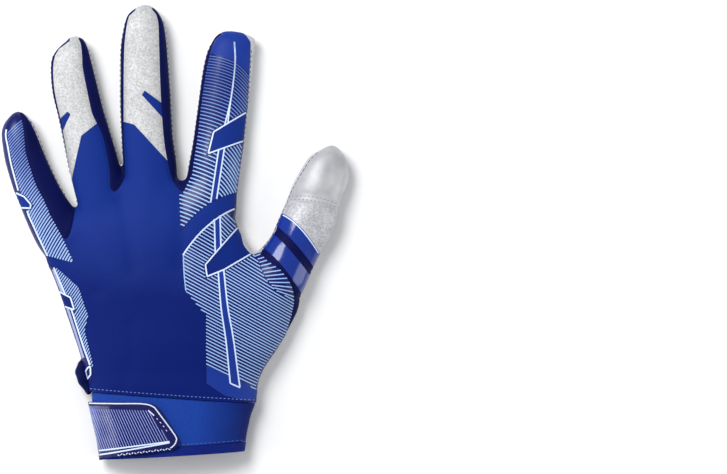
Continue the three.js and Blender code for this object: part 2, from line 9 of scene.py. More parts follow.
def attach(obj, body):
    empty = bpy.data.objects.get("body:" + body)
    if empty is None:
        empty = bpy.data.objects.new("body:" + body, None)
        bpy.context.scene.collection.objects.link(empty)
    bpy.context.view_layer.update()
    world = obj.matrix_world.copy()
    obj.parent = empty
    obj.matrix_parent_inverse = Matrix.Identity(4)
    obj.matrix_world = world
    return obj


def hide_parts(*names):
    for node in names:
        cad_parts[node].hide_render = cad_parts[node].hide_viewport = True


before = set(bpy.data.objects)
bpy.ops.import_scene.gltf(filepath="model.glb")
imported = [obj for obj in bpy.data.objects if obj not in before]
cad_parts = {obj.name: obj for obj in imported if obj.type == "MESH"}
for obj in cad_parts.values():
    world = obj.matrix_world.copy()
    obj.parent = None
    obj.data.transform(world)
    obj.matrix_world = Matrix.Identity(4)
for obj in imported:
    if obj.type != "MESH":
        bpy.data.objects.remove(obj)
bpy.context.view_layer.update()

# A left-hand receiver glove lying palm down. Tables and outlines are in millimetres from the middle of the
# cuff seam, and every mesh is made in metres in the row frame.
MM = 0.001
CUFF_SEAM_MIDDLE = np.array([-1.8335, -86.4783, 0.0])

# The hand, fingers and wrist, as in the solids
PALM_WIDTH = 88
PALM_LENGTH = 114
PALM_RISE = 17.5
SEAM_HEIGHT = 7.5
FINGER_RISE = 8
THUMB_RISE = 10.5
CUFF_WIDTH = 84
CUFF_LENGTH = 31
CUFF_RISE = 14.5
CUFF_DEPTH = 5.1
HEM_HEIGHT = 5
STRAP_HEIGHT = 30.9
STRAP_REACH = 47
STRAP_UNDER = 20
STRAP_NOSE = 13
STRAP_CORNER = 6
STRAP_THICKNESS = 1.6
GUSSET_BULGE = 2.6
GUSSET_WIDTH = 4.6
GUSSET_HEIGHT = 9
GUSSET_ROOT = 3
GUSSET_RUFFLE = 0.3

# Layers
FABRIC_WALL = 1.5
FILM_LIFT = 0.22
FILM_SINK = 0.2
PRINT_LIFT = 0.1
PRINT_SINK = 0.15
BOLD_LIFT = 0.03
PALE_BAND_LIFT = 0.02
PLAIN_LIFT = 0.05
PLAIN_FLOOR = 0.1
PLAIN_MARGIN = 0.25
CUFF_INSET = 0.25
CUFF_WALL = 2
JOINT = 0.3
FIELD_LIFT = 0.06
FIELD_SINK = 0.2
FIELD_MARGIN = 0.4
PIPING_LIFT = 0.3
RIM_LIFT = 0.2

# Printed lines
LINE_WIDTH = 0.75
STRIPE_PITCH = 1.87
STRIPE_WIDTH = 0.54
TIP_PITCH = 1.4
TIP_WIDTH = 0.42
SIDE_PITCH = 1.8
SIDE_TIP_PITCH = 1.25
HEEL_PITCH = 1.5
PALE_BAND_WIDTH = 1.2
THUMB_EDGE_WIDTH = 0.6
FAN_PITCH = 2.0
FAN_SPREAD = 0.93
NOTCH_MARGIN = 0.8
PITCH_GROWTH = 3
STRIPE_POINTS = 25
STRAP_PITCH = 1.5
STRAP_END_PITCH = 0.85
STRAP_LINE = 0.31
RIM_WIDTH = 1.6
PIPING_WIDTH = 0.6

# Rows of stitches, and how far each stitch lies above the cloth
STITCHES = {
    "wrist": {"length": 1.2, "gap": 0.9, "radius": 0.2, "lift": 0.02},
    "strap": {"length": 1.3, "gap": 0.5, "radius": 0.26, "lift": 0.1},
    "nose": {"length": 1.0, "gap": 1.5, "radius": 0.2, "lift": 0.25},
    "hem": {"length": 1.6, "gap": 0.7, "radius": 0.2, "lift": 0.03},
    "cap": {"length": 1.2, "gap": 0.9, "radius": 0.24, "lift": 0.0},
}
WRIST_STITCH_RISE = 1.5
HEM_STITCH_RISE = 0.9
CAP_STITCH_SHIFTS = (0.023, 0.045)
ZIGZAG_STEP = 1.5
ZIGZAG_REACH = 0.5
EDGE_STITCH_DROP = 0.9
EDGE_STITCH_PITCH = 2.6
EDGE_STITCH_RADIUS = 0.2
LONGEST_EDGE_STITCH = 4
EDGE_STITCHES_END = 0.93
EDGE_STITCH_PROBE = 0.5
EDGE_STITCH_VIEW = 4

# Fineness of the surfaces and lines
VOXEL = 0.8
HOLLOW_VOXEL = 1.1
SMOOTH_ROUNDS = 14
KNUCKLE_ROUNDS = 170
LINE_STEP = 0.8
FINE_STEP = 0.6
ANCHOR_STEP = 0.1
CLIP_STEP = 0.25
TINY = 1e-9

# How round a section is above and below its side seam, and a length past everything
TOP_ROUNDNESS = 2.15
UNDER_ROUNDNESS = 2.8
FAR = 400

# Degrees between two faces from which their edge looks sharp, and from which it is rounded
SHARP_ANGLE = 42
ROUNDED_ANGLE = 50

# A turn in radians, as the rib pattern's scale has it
FULL_TURN = 6.2832

# Sections of each finger, as shares of its length, width, rise and the seam's height. Rows stop before a sewn
# line that the finger doesn't have.
SECTION_COLUMNS = ("t", "left", "right", "top", "under")
FINGER_COLUMNS = SECTION_COLUMNS + ("seam_left", "seam_right")
PINKY = {
    "length": 82, "width": 22, "rise": FINGER_RISE, "lean": -17.7, "root": (-0.626, 0.63), "crest": -0.13,
    "rows": (
        (0.0, 0.28, 0.4, 1.0, 1.1, -0.5, 0.16),
        (0.15, 0.49, 0.55, 1.3, 1.2, -0.5, 0.13),
        (0.3, 0.57, 0.575, 1.25, 1.1, -0.5, 0.03),
        (0.42, 0.605, 0.465, 1.15, 0.95, -0.5, -0.02),
        (0.55, 0.64, 0.38, 1.05, 0.88, -0.5, -0.09),
        (0.7, 0.63, 0.325, 1.0, 0.95, -0.5, -0.09),
        (0.82, 0.57, 0.315, 0.95, 1.15, -0.5, -0.02),
        (0.9, 0.505, 0.275, 0.85, 1.15, -0.5, 0.04),
        (0.95, 0.375, 0.21, 0.65, 0.9, -0.5, 0.05),
        (0.985, 0.18, 0.13, 0.38, 0.5, -0.5, 0.05),
        (1.0, 0.04, 0.04, 0.1, 0.1, -0.5, 0.05),
    ),
}
RING = {
    "length": 99.5, "width": 25, "rise": FINGER_RISE, "lean": -9.6, "root": (-0.378, 0.798), "crest": -0.17,
    "rows": (
        (0.0, 0.4, 0.4, 1.15, 1.1, -0.58, 0.18),
        (0.15, 0.54, 0.495, 1.4, 1.2, -0.58, 0.18),
        (0.3, 0.585, 0.47, 1.25, 1.1, -0.575, 0.25),
        (0.45, 0.605, 0.4, 1.1, 0.95, -0.575, 0.23),
        (0.6, 0.63, 0.33, 1.0, 0.88, -0.59, 0.08),
        (0.72, 0.665, 0.3, 0.98, 0.95, -0.61, 0.06),
        (0.82, 0.64, 0.275, 0.95, 1.15, -0.58, 0.05),
        (0.9, 0.57, 0.255, 0.85, 1.15, -0.505, 0.08),
        (0.95, 0.41, 0.225, 0.65, 0.9, -0.36, 0.09),
        (0.985, 0.17, 0.14, 0.38, 0.5, -0.1, 0.06),
        (1.0, 0.04, 0.04, 0.1, 0.1, -0.1, 0.06),
    ),
}
MIDDLE = {
    "length": 114.5, "width": 26, "rise": FINGER_RISE, "lean": -1.6, "root": (-0.118, 0.798), "crest": -0.05,
    "rows": (
        (0.0, 0.4, 0.4, 1.35, 1.1, -0.47, 0.5),
        (0.15, 0.52, 0.54, 1.4, 1.2, -0.48, 0.49),
        (0.25, 0.53, 0.545, 1.3, 1.1, -0.49, 0.39),
        (0.4, 0.55, 0.48, 1.12, 0.95, -0.5, 0.3),
        (0.55, 0.56, 0.46, 1.0, 0.88, -0.48, 0.27),
        (0.7, 0.545, 0.44, 1.0, 0.95, -0.46, 0.26),
        (0.82, 0.51, 0.42, 0.95, 1.15, -0.43, 0.26),
        (0.9, 0.44, 0.385, 0.85, 1.15, -0.38, 0.26),
        (0.95, 0.375, 0.31, 0.65, 0.9, -0.32, 0.22),
        (0.985, 0.2, 0.18, 0.38, 0.5, -0.16, 0.12),
        (1.0, 0.05, 0.05, 0.1, 0.1, -0.16, 0.12),
    ),
}
INDEX = {
    "length": 104.5, "width": 26, "rise": FINGER_RISE, "lean": 7.2, "root": (0.236, 0.767), "crest": -0.1,
    "rows": (
        (0.0, 0.4, 0.36, 1.15, 1.1, -0.53),
        (0.12, 0.58, 0.435, 1.42, 1.2, -0.53),
        (0.22, 0.635, 0.41, 1.32, 1.15, -0.53),
        (0.32, 0.615, 0.41, 1.2, 1.05, -0.52),
        (0.45, 0.59, 0.42, 1.06, 0.92, -0.512),
        (0.6, 0.585, 0.41, 1.0, 0.88, -0.517),
        (0.75, 0.58, 0.405, 1.0, 1.0, -0.51),
        (0.86, 0.55, 0.39, 0.95, 1.15, -0.48),
        (0.94, 0.46, 0.38, 0.8, 1.1, -0.42),
        (0.965, 0.41, 0.41, 0.66, 0.9, -0.36),
        (0.99, 0.3, 0.3, 0.42, 0.55, -0.26),
        (1.0, 0.12, 0.12, 0.2, 0.2, -0.26),
    ),
}
THUMB = {
    "length": 91, "width": 28, "rise": THUMB_RISE, "lean": 24.2, "root": (0.532, 0.433), "crest": 0.1,
    "rows": (
        (0.0, 0.4, 0.4, 1.0, 1.1),
        (0.1, 0.57, 0.555, 1.25, 1.2),
        (0.2, 0.59, 0.59, 1.15, 1.15),
        (0.3, 0.445, 0.58, 1.05, 1.0),
        (0.4, 0.37, 0.59, 1.0, 0.92),
        (0.5, 0.375, 0.63, 1.0, 0.9),
        (0.6, 0.38, 0.625, 1.0, 0.95),
        (0.7, 0.4, 0.545, 0.98, 1.1),
        (0.8, 0.37, 0.53, 0.93, 1.15),
        (0.87, 0.345, 0.49, 0.85, 1.1),
        (0.93, 0.235, 0.385, 0.68, 0.9),
        (0.97, 0.13, 0.265, 0.48, 0.6),
        (1.0, 0.03, 0.06, 0.15, 0.15),
    ),
}
FINGERS = (PINKY, RING, MIDDLE, INDEX, THUMB)

# Sections across the hand, as shares of the palm's size. wrist: how far a row follows the cuff's size.
PALM_CREST = -0.05
PALM_COLUMNS = ("y", "left", "right", "top", "under", "wrist")
PALM_ROWS = (
    (-0.1, 0.515, 0.525, 0.98, 0.68, 1),
    (-0.02, 0.515, 0.525, 1.02, 0.68, 1),
    (0.064, 0.513, 0.525, 1.05, 0.8, 0.8),
    (0.132, 0.522, 0.548, 1.0, 1.0, 0.5),
    (0.228, 0.548, 0.62, 1.0, 1.15, 0.15),
    (0.31, 0.58, 0.68, 1.0, 1.2, 0),
    (0.456, 0.645, 0.757, 1.0, 1.2, 0),
    (0.543, 0.684, 0.705, 0.98, 1.2, 0),
    (0.584, 0.706, 0.61, 0.95, 1.2, 0),
    (0.63, 0.735, 0.53, 0.91, 1.2, 0),
    (0.7, 0.75, 0.457, 0.85, 1.2, 0),
    (0.8, 0.64, 0.385, 0.76, 1.2, 0),
    (0.875, 0.58, 0.36, 0.67, 1.2, 0),
    (0.93, 0.38, 0.33, 0.58, 1.1, 0),
    (1.0, 0.33, 0.12, 0.48, 1.1, 0),
)

# Sections across the cuff, as shares of its size
CUFF_COLUMNS = ("y", "left", "right", "top", "under")
CUFF_ROWS = (
    (0.3, 0.495, 0.525, 1.0, 1),
    (0.0, 0.493, 0.522, 1.0, 1),
    (-0.28, 0.473, 0.49, 1.02, 1),
    (-0.65, 0.442, 0.463, 1.04, 1),
    (-1.15, 0.415, 0.44, 1.02, 1),
)


def slopes(x, y):
    """Slopes of a smooth line through a table's values that never overshoots them."""
    step = np.diff(x)
    rise = np.diff(y) / step
    slope = np.zeros(len(x))
    slope[0], slope[-1] = rise[0], rise[-1]
    for i in range(1, len(x) - 1):
        if rise[i - 1] * rise[i] > 0:
            near, far = 2 * step[i] + step[i - 1], step[i] + 2 * step[i - 1]
            slope[i] = (near + far) / (near / rise[i - 1] + far / rise[i])
    return slope


def smooth_value(x, y, at):
    """A table's value at some places, by a smooth line through its rows."""
    x, y, at = (np.asarray(v, float) for v in (x, y, at))
    slope = slopes(x, y)
    at = np.clip(at, x[0], x[-1])
    i = np.clip(np.searchsorted(x, at, side="right") - 1, 0, len(x) - 2)
    width = x[i + 1] - x[i]
    u = (at - x[i]) / width
    start = (1 + 2 * u) * (1 - u) ** 2 * y[i] + u * (1 - u) ** 2 * width * slope[i]
    return start + u**2 * (3 - 2 * u) * y[i + 1] + u**2 * (u - 1) * width * slope[i + 1]


def column(rows, columns, name, at):
    """A named column of a table at some places along its first column."""
    ordered = sorted(rows)
    x = [row[0] for row in ordered]
    return smooth_value(x, [row[columns.index(name)] for row in ordered], at)


def ease(value, low, high):
    """0 below low, 1 above high and smooth between."""
    u = np.clip((np.asarray(value, float) - low) / (high - low), 0, 1)
    return u * u * (3 - 2 * u)


def hand(u, v):
    """A point on the hand, as shares of the palm's width and length."""
    return np.array([u * PALM_WIDTH, v * PALM_LENGTH])


def wrist(u, v):
    """A point on the cuff, as shares of its width and length."""
    return np.array([u * CUFF_WIDTH, v * CUFF_LENGTH])


def axis_of(finger):
    """Root, direction and right-hand direction of a finger, seen from above."""
    lean = math.radians(finger["lean"])
    sin, cos = math.sin(lean), math.cos(lean)
    return hand(*finger["root"]), np.array([sin, cos]), np.array([cos, -sin])


def on(finger, t, side):
    """A point on a finger: shares of its length from the root and of its width to the right."""
    root, along, across = axis_of(finger)
    return root + along * t * finger["length"] + across * side * finger["width"]


def on_hand(*shares):
    """Several points on the hand."""
    return np.array([hand(u, v) for u, v in shares])


def on_cuff(*shares):
    """Several points on the cuff."""
    return np.array([wrist(u, v) for u, v in shares])


def on_finger(finger, *shares):
    """Several points on a finger."""
    return np.array([on(finger, t, side) for t, side in shares])


def place_on(finger, points):
    """The shares t and side of some points in plan."""
    root, along, across = axis_of(finger)
    moved = points[:, :2] - root
    return moved @ along / finger["length"], moved @ across / finger["width"]


def values_of(rows, columns, at):
    """Every column of a table at some places, by its name."""
    return {name: column(rows, columns, name, at) for name in columns[1:]}


def loft(centres, across, crest, left, right, top, depth, sides, floor=0.0):
    """Vertices and faces of a closed loft of round sections whose widest points lie at the side seam."""
    angle = np.linspace(0, 2 * math.pi, sides, endpoint=False)
    cos, sin = np.cos(angle), np.sin(angle)
    power = np.where(sin > 0, 2 / TOP_ROUNDNESS, 2 / UNDER_ROUNDNESS)
    c = np.sign(cos) * np.abs(cos) ** power
    h = np.sign(sin) * np.abs(sin) ** power
    count = len(centres)
    crest = np.broadcast_to(crest, count)
    rings = []
    for i in range(count):
        side = crest[i] + c * np.where(c > 0, right[i] - crest[i], left[i] + crest[i])
        height = np.maximum(SEAM_HEIGHT + h * np.where(h > 0, top[i], depth[i]), floor)
        rings.append(np.column_stack([centres[i] + side[:, None] * across, height]))
    faces = []
    for r in range(count - 1):
        for k in range(sides):
            n = (k + 1) % sides
            faces.append((r * sides + k, (r + 1) * sides + k, (r + 1) * sides + n, r * sides + n))
    faces.append(tuple(range(sides)))
    last = (count - 1) * sides
    faces.append(tuple(range(last + sides - 1, last - 1, -1)))
    return np.concatenate(rings), faces


# Where the lofts have their sections, closer together at a fingertip
FINGER_PLACES = np.concatenate([np.linspace(0, 0.9, 46), np.linspace(0.91, 1.0, 22)])
PALM_PLACES = np.linspace(PALM_ROWS[0][0], PALM_ROWS[-1][0], 110)
CUFF_PLACES = np.linspace(CUFF_ROWS[-1][0], CUFF_ROWS[0][0], 60)
RIGHT = np.array([1.0, 0.0])


def finger_loft(finger, sides=48):
    """The outer form of a finger."""
    root, along, across = axis_of(finger)
    value = values_of(finger["rows"], SECTION_COLUMNS, FINGER_PLACES)
    width = finger["width"]
    return loft(
        root + FINGER_PLACES[:, None] * finger["length"] * along, across, finger["crest"] * width,
        value["left"] * width, value["right"] * width,
        value["top"] * finger["rise"], value["under"] * SEAM_HEIGHT, sides)


def palm_loft(sides=120):
    """The outer form of the hand without its fingers."""
    value = values_of(PALM_ROWS, PALM_COLUMNS, PALM_PLACES)
    width = PALM_WIDTH + (CUFF_WIDTH - PALM_WIDTH) * value["wrist"]
    rise = PALM_RISE + (CUFF_RISE - PALM_RISE) * value["wrist"]
    return loft(
        np.column_stack([np.zeros(len(width)), PALM_PLACES * PALM_LENGTH]), RIGHT, PALM_CREST * width,
        value["left"] * width, value["right"] * width,
        value["top"] * rise, value["under"] * SEAM_HEIGHT, sides)


def cuff_loft(inset, sides=160):
    """The form of the cuff, drawn in by an inset."""
    value = values_of(CUFF_ROWS, CUFF_COLUMNS, CUFF_PLACES)
    return loft(
        np.column_stack([np.zeros(len(CUFF_PLACES)), CUFF_PLACES * CUFF_LENGTH]), RIGHT,
        PALM_CREST * CUFF_WIDTH,
        value["left"] * CUFF_WIDTH - inset, value["right"] * CUFF_WIDTH - inset,
        value["top"] * CUFF_RISE - inset, value["under"] * CUFF_DEPTH - inset, sides, floor=-FAR)


# Meshes

def new_object(name, points, faces):
    """An object in the row frame from millimetre points."""
    mesh = bpy.data.meshes.new(name)
    mesh.from_pydata(((np.asarray(points) + CUFF_SEAM_MIDDLE) * MM).tolist(), [], [tuple(f) for f in faces])
    mesh.validate()
    made = bpy.data.objects.new(name, mesh)
    bpy.context.scene.collection.objects.link(made)
    return made


def points_of(made):
    """The vertices of an object, in millimetres from the cuff seam's middle."""
    flat = np.empty(len(made.data.vertices) * 3)
    made.data.vertices.foreach_get("co", flat)
    return flat.reshape(-1, 3) / MM - CUFF_SEAM_MIDDLE


def set_points(made, points):
    """Moves the vertices of an object."""
    made.data.vertices.foreach_set("co", ((points + CUFF_SEAM_MIDDLE) * MM).ravel())
    made.data.update()


def normals_of(made):
    """The vertex normals of an object."""
    flat = np.empty(len(made.data.vertices) * 3, dtype=np.float32)
    made.data.vertex_normals.foreach_get("vector", flat)
    return flat.reshape(-1, 3).astype(float)


def bake(made):
    """Applies the modifiers of an object."""
    bpy.context.view_layer.update()
    depsgraph = bpy.context.evaluated_depsgraph_get()
    mesh = bpy.data.meshes.new_from_object(made.evaluated_get(depsgraph))
    made.modifiers.clear()
    old = made.data
    made.data = mesh
    bpy.data.meshes.remove(old)
    return made


def copy_of(made, name):
    """A copy of an object with its own mesh."""
    twin = bpy.data.objects.new(name, made.data.copy())
    bpy.context.scene.collection.objects.link(twin)
    return twin


def remove(*objects):
    """Deletes helper objects and their meshes."""
    for made in objects:
        mesh = made.data
        bpy.data.objects.remove(made)
        bpy.data.meshes.remove(mesh)


def cut(made, tool, operation):
    """Cuts, joins or keeps the common part of two closed meshes."""
    step = made.modifiers.new("cut", "BOOLEAN")
    step.operation = operation
    step.object = tool
    step.solver = "MANIFOLD"
    return bake(made)


def remeshed(made, size):
    """One even closed surface round everything in a mesh."""
    step = made.modifiers.new("remesh", "REMESH")
    step.mode = "VOXEL"
    step.voxel_size = size * MM
    return bake(made)


def joined(name, parts):
    """One object from several lists of points and faces."""
    points, faces, start = [], [], 0
    for part_points, part_faces in parts:
        points.append(np.asarray(part_points, float))
        faces += [tuple(i + start for i in face) for face in part_faces]
        start += len(part_points)
    return new_object(name, np.concatenate(points), faces)


def relax(made, rounds, weight=None):
    """Evens a surface out, more where the weight is higher."""
    points = points_of(made)
    count = len(points)
    flat = np.empty(len(made.data.edges) * 2, dtype=np.int32)
    made.data.edges.foreach_get("vertices", flat)
    a, b = flat[0::2], flat[1::2]
    degree = np.maximum(np.bincount(a, minlength=count) + np.bincount(b, minlength=count), 1)
    weight = np.ones(count) if weight is None else weight
    for _ in range(rounds):
        for axis in range(3):
            total = np.bincount(a, points[b, axis], count) + np.bincount(b, points[a, axis], count)
            points[:, axis] += 0.5 * weight * (total / degree - points[:, axis])
    set_points(made, points)


def turn_of(outline):
    """1 for an outline that runs anticlockwise, -1 for one that runs clockwise."""
    x, y = outline.T
    return math.copysign(1, np.sum(x * np.roll(y, -1) - np.roll(x, -1) * y))


def prism(name, outline, low=-FAR, high=FAR):
    """A closed outline as an upright solid."""
    outline = np.asarray(outline, float)
    if turn_of(outline) < 0:
        outline = outline[::-1]
    count = len(outline)
    points = np.concatenate([np.column_stack([outline, np.full(count, height)]) for height in (low, high)])
    faces = [tuple(range(count - 1, -1, -1)), tuple(range(count, 2 * count))]
    for i in range(count):
        n = (i + 1) % count
        faces.append((i, n, n + count, i + count))
    return new_object(name, points, faces)


def cut_along(made, outline, operation, low=-FAR, high=FAR):
    """Cuts a piece with the upright solid over an outline, or keeps what lies in it."""
    tool = prism("tool", outline, low, high)
    cut(made, tool, operation)
    remove(tool)
    return made


def distances(line):
    """How far along a line each of its points lies."""
    return np.concatenate([[0], np.cumsum(np.linalg.norm(np.diff(line, axis=0), axis=1))])


def curve(points, steps=8):
    """A smooth line through a few points."""
    points = np.asarray(points, float)
    at = distances(points)
    fine = np.linspace(0, at[-1], steps * (len(points) - 1) + 1)
    padded = np.vstack([2 * points[0] - points[1], points, 2 * points[-1] - points[-2]])
    result = []
    for s in fine:
        i = min(np.searchsorted(at, s, side="right") - 1, len(points) - 2)
        u = (s - at[i]) / (at[i + 1] - at[i])
        p0, p1, p2, p3 = padded[i:i + 4]
        result.append(0.5 * (2 * p1 + (p2 - p0) * u + (2 * p0 - 5 * p1 + 4 * p2 - p3) * u**2
                             + (3 * p1 - p0 - 3 * p2 + p3) * u**3))
    return np.array(result)


def bowed(start, middle, end, steps=10):
    """A line bowed from one point to another past a middle point."""
    pull = 2 * middle - (start + end) / 2
    u = np.linspace(0, 1, steps + 1)[:, None]
    return (1 - u) ** 2 * start + 2 * u * (1 - u) * pull + u**2 * end


def rounded(before, corner, after, radius, steps=6):
    """A corner rounded between its two sides."""
    start = corner + (before - corner) / np.linalg.norm(before - corner) * radius
    end = corner + (after - corner) / np.linalg.norm(after - corner) * radius
    u = np.linspace(0, 1, steps + 1)[:, None]
    return (1 - u) ** 2 * start + 2 * u * (1 - u) * corner + u**2 * end


def grown(outline, distance):
    """An outline moved out by a distance, or in by a negative one."""
    outline = np.asarray(outline, float)
    before, after = np.roll(outline, 1, axis=0), np.roll(outline, -1, axis=0)
    a = (outline - before) / np.linalg.norm(outline - before, axis=1)[:, None]
    b = (after - outline) / np.linalg.norm(after - outline, axis=1)[:, None]
    out = np.column_stack([a[:, 1] + b[:, 1], -a[:, 0] - b[:, 0]])
    out /= np.maximum(np.linalg.norm(out, axis=1), TINY)[:, None]
    square = np.maximum(np.sqrt(np.maximum((1 + np.sum(a * b, axis=1)) / 2, 0)), 0.5)
    return outline + turn_of(outline) * out * (distance / square)[:, None]


# A sewn line keeps its distance from the axis past this share of the finger's length
SEAM_END = 0.985


def seam(finger, side, start, end, steps=26):
    """A finger's sewn line on one side, between two shares of its length."""
    t = np.linspace(start, end, steps)
    s = column(finger["rows"], FINGER_COLUMNS, side, np.clip(t, 0, SEAM_END))
    return on_finger(finger, *zip(t, s))


# Outlines seen from above, shared by the panels, seams and printed lines
PAST_TIP = 1.04
WRIST_STEPS = 30


def strip_outline(left_finger, right_finger, left_end, right_end, foot_u, foot_v):
    """The strip between two fingers, from past one tip round the crotch to past the other."""
    down = seam(left_finger, "seam_right", PAST_TIP, left_end)
    up = seam(right_finger, "seam_left", right_end, PAST_TIP)
    foot = bowed(down[-1], hand(foot_u, foot_v), up[0])
    return np.vstack([down, foot[1:-1], up])


STRIPS = {
    "strip_pinky_ring": strip_outline(PINKY, RING, 0.18, 0.12, -0.6, 0.748),
    "strip_ring_middle": strip_outline(RING, MIDDLE, 0.2, 0.22, -0.325, 0.952),
    "strip_middle_index": strip_outline(MIDDLE, INDEX, 0.2, 0.26, 0.072, 0.952),
}
THUMB_LINE = curve(on_finger(
    THUMB, (0.42, -0.95), (0.268, -0.4), (0.216, 0.152), (0.102, 0.511), (-0.161, 0.66)))
THUMB_AREA = np.vstack([THUMB_LINE, on_finger(THUMB, (-0.1, 2.4), (1.4, 2.4), (1.4, -0.95))])
SEAM_LINE = bowed(*on_cuff((-0.7, 0.2), (0.02, 0.05), (0.75, -0.07)), WRIST_STEPS)
CUFF_END = bowed(*on_cuff((-0.7, -1.02), (0.02, -0.92), (0.7, -0.8)), WRIST_STEPS)
HEM_TOP = CUFF_END + [0, HEM_HEIGHT]

SWEEP_HIGH = bowed(*on_hand((0.059, 0.771), (0.205, 0.885), (0.381, 0.946)))
SWEEP_LOW = bowed(*on_hand((0.069, 0.666), (0.21, 0.797), (0.377, 0.879)))
RING_FILM = np.vstack([
    seam(RING, "seam_right", PAST_TIP, 0.53), on(RING, 0.48, -0.208),
    seam(RING, "seam_left", 0.257, PAST_TIP)])
RING_NOTCH = on_finger(RING, (0.57, -0.7), (0.616, -0.411), (0.6, -0.355), (0.48, -0.7))
MIDDLE_FILM = np.vstack([
    seam(MIDDLE, "seam_right", PAST_TIP, 0.29), on_finger(MIDDLE, (0.411, -0.101), (0.456, -0.277)),
    seam(MIDDLE, "seam_left", 0.471, PAST_TIP)])
MIDDLE_NOTCH = on_finger(MIDDLE, (0.455, 0.4), (0.589, -0.107), (0.609, -0.049), (0.53, 0.4))
INDEX_FILM = np.vstack([
    seam(INDEX, "seam_left", PAST_TIP, 0.27), on_hand((0.071, 0.945), (0.047, 0.945)), SWEEP_HIGH,
    on_finger(INDEX, (0.2, 0.7), (PAST_TIP, 0.7))])
INDEX_NOTCH = on_finger(INDEX, (0.53, 0.9), (0.383, -0.251), (0.493, -0.2), (0.71, 0.9))
HAND_FILM = np.vstack([
    SWEEP_LOW, hand(0.5, 0.92), THUMB_LINE,
    on_hand((0.7, -0.03), (0.413, 0.005), (0.313, 0.024), (0.208, 0.08), (0.208, 0.388), (0.086, 0.502),
            (0.075, 0.576))])
WEB_NOTCH = on_hand(
    (0.45, 0.84), (0.255, 0.665), (0.204, 0.618), (0.215, 0.565), (0.316, 0.597), (0.52, 0.69))
PINKY_FILM = np.vstack([
    seam(PINKY, "seam_right", PAST_TIP, 0.18), on_hand((-0.567, 0.626), (-0.724, 0.657), (-0.87, 0.69)),
    on_finger(PINKY, (0.2, -1), (PAST_TIP, -1))])
PINKY_NOTCH = on_finger(PINKY, (0.45, -1), (0.39, -0.381), (0.41, -0.34), (0.473, -0.442), (0.6, -1))
HEEL_FILM = on_hand(
    (-0.8, 0.622), (-0.674, 0.607), (-0.54, 0.515), (-0.485, 0.388), (-0.506, 0.319), (-0.457, 0.173),
    (-0.473, 0.09), (-0.6, 0.09), (-0.8, 0.5))
HEEL_NOTCH = on_hand((-0.8, 0.47), (-0.8, 0.5), (-0.721, 0.52), (-0.59, 0.469), (-0.568, 0.413))

# Lines across the thumb at its left edge, its axis and its right edge
THUMB_LINES = {
    "cap": (0.535, 0.635, 0.66),
    "patch": (0.515, 0.507, 0.37),
    "band_one_low": (0.455, 0.414, 0.29),
    "band_two_high": (0.41, 0.362, 0.24),
    "band_two_low": (0.305, 0.262, 0.12),
}
THUMB_LEFT = -0.55
THUMB_RIGHT = 0.75
PAST_THUMB = 1.15


def across_thumb(name, shift=0.0):
    """A line across the back of the thumb."""
    ends = zip(THUMB_LINES[name], (THUMB_LEFT, 0, THUMB_RIGHT))
    return bowed(*on_finger(THUMB, *((t + shift, side) for t, side in ends)))


def band(high, low):
    """The area between two lines."""
    return np.vstack([high, low[::-1]])


def thumb_band(high, low):
    """The area between two lines across the thumb."""
    return band(across_thumb(high), across_thumb(low))


THUMB_CAP = np.vstack([
    across_thumb("cap"), on_finger(THUMB, (PAST_THUMB, THUMB_RIGHT), (PAST_THUMB, THUMB_LEFT))])


# The skin

def distance_to_line(points, line):
    """Distance in plan from points to a line of straight stretches."""
    line = np.asarray(line, float)
    best = np.full(len(points), np.inf)
    for start, end in zip(line[:-1], line[1:]):
        along = end - start
        u = np.clip((points[:, :2] - start) @ along / max(along @ along, 1e-12), 0, 1)
        best = np.minimum(best, np.linalg.norm(points[:, :2] - start - u[:, None] * along, axis=1))
    return best


# Slow unevenness of the cloth
WAVE_COUNT = 7
WAVE_PHASES = 6.28
WAVE_DEPTH = 0.3
WAVE_LENGTH = 34
WAVE_SEED = 3


def waves(points, size, seed):
    """Slow smooth noise between about -1 and 1, the same each run."""
    source = np.random.default_rng(seed)
    total = np.zeros(len(points))
    for _ in range(WAVE_COUNT):
        direction = source.normal(size=3)
        direction /= np.linalg.norm(direction)
        length = size * source.uniform(0.7, 1.5)
        total += np.sin(points @ direction * 2 * math.pi / length + source.uniform(0, WAVE_PHASES))
    return total / (WAVE_COUNT / 2)


# Lines that draw the cloth in: sewn ones, and the groove between the thumb's two raised bands. Each has its
# depth, its half width and how square it is.
PRESSED = [(outline, 0.45, 0.8, 2) for outline in STRIPS.values()] + [
    (THUMB_LINE, 0.5, 0.9, 2),
    (across_thumb("cap"), 0.55, 0.9, 2),
    (across_thumb("band_one_low", -0.02), 0.3, 1.2, 4),
]

# Soft folds, each a line in plan with its depth and half width
FOLDS = (
    (on_hand((-0.55, 0.72), (-0.43, 0.5)), 0.7, 4.5),
    (on_hand((-0.28, 0.9), (-0.22, 0.6)), 0.8, 4.5),
    (on_hand((0.06, 0.92), (0.06, 0.62)), 0.8, 4.5),
    (on_hand((-0.3, 0.02), (-0.22, 0.2), (-0.24, 0.34)), 0.35, 4.0),
    (on_hand((0.3, 0.0), (0.16, 0.22)), 0.35, 4.0),
    (on_finger(THUMB, (0.91, 0.46), (0.82, 0.5), (0.72, 0.58)), 0.9, 1.7),
    (on_finger(THUMB, (0.9, 0.12), (0.8, 0.2), (0.72, 0.18)), 0.4, 2.6),
    (on_finger(THUMB, (0.9, -0.3), (0.8, -0.34), (0.7, -0.36)), 0.4, 2.2),
    (on_finger(THUMB, (0.66, -0.3), (0.69, 0.0), (0.7, 0.4)), 0.3, 1.6),
)

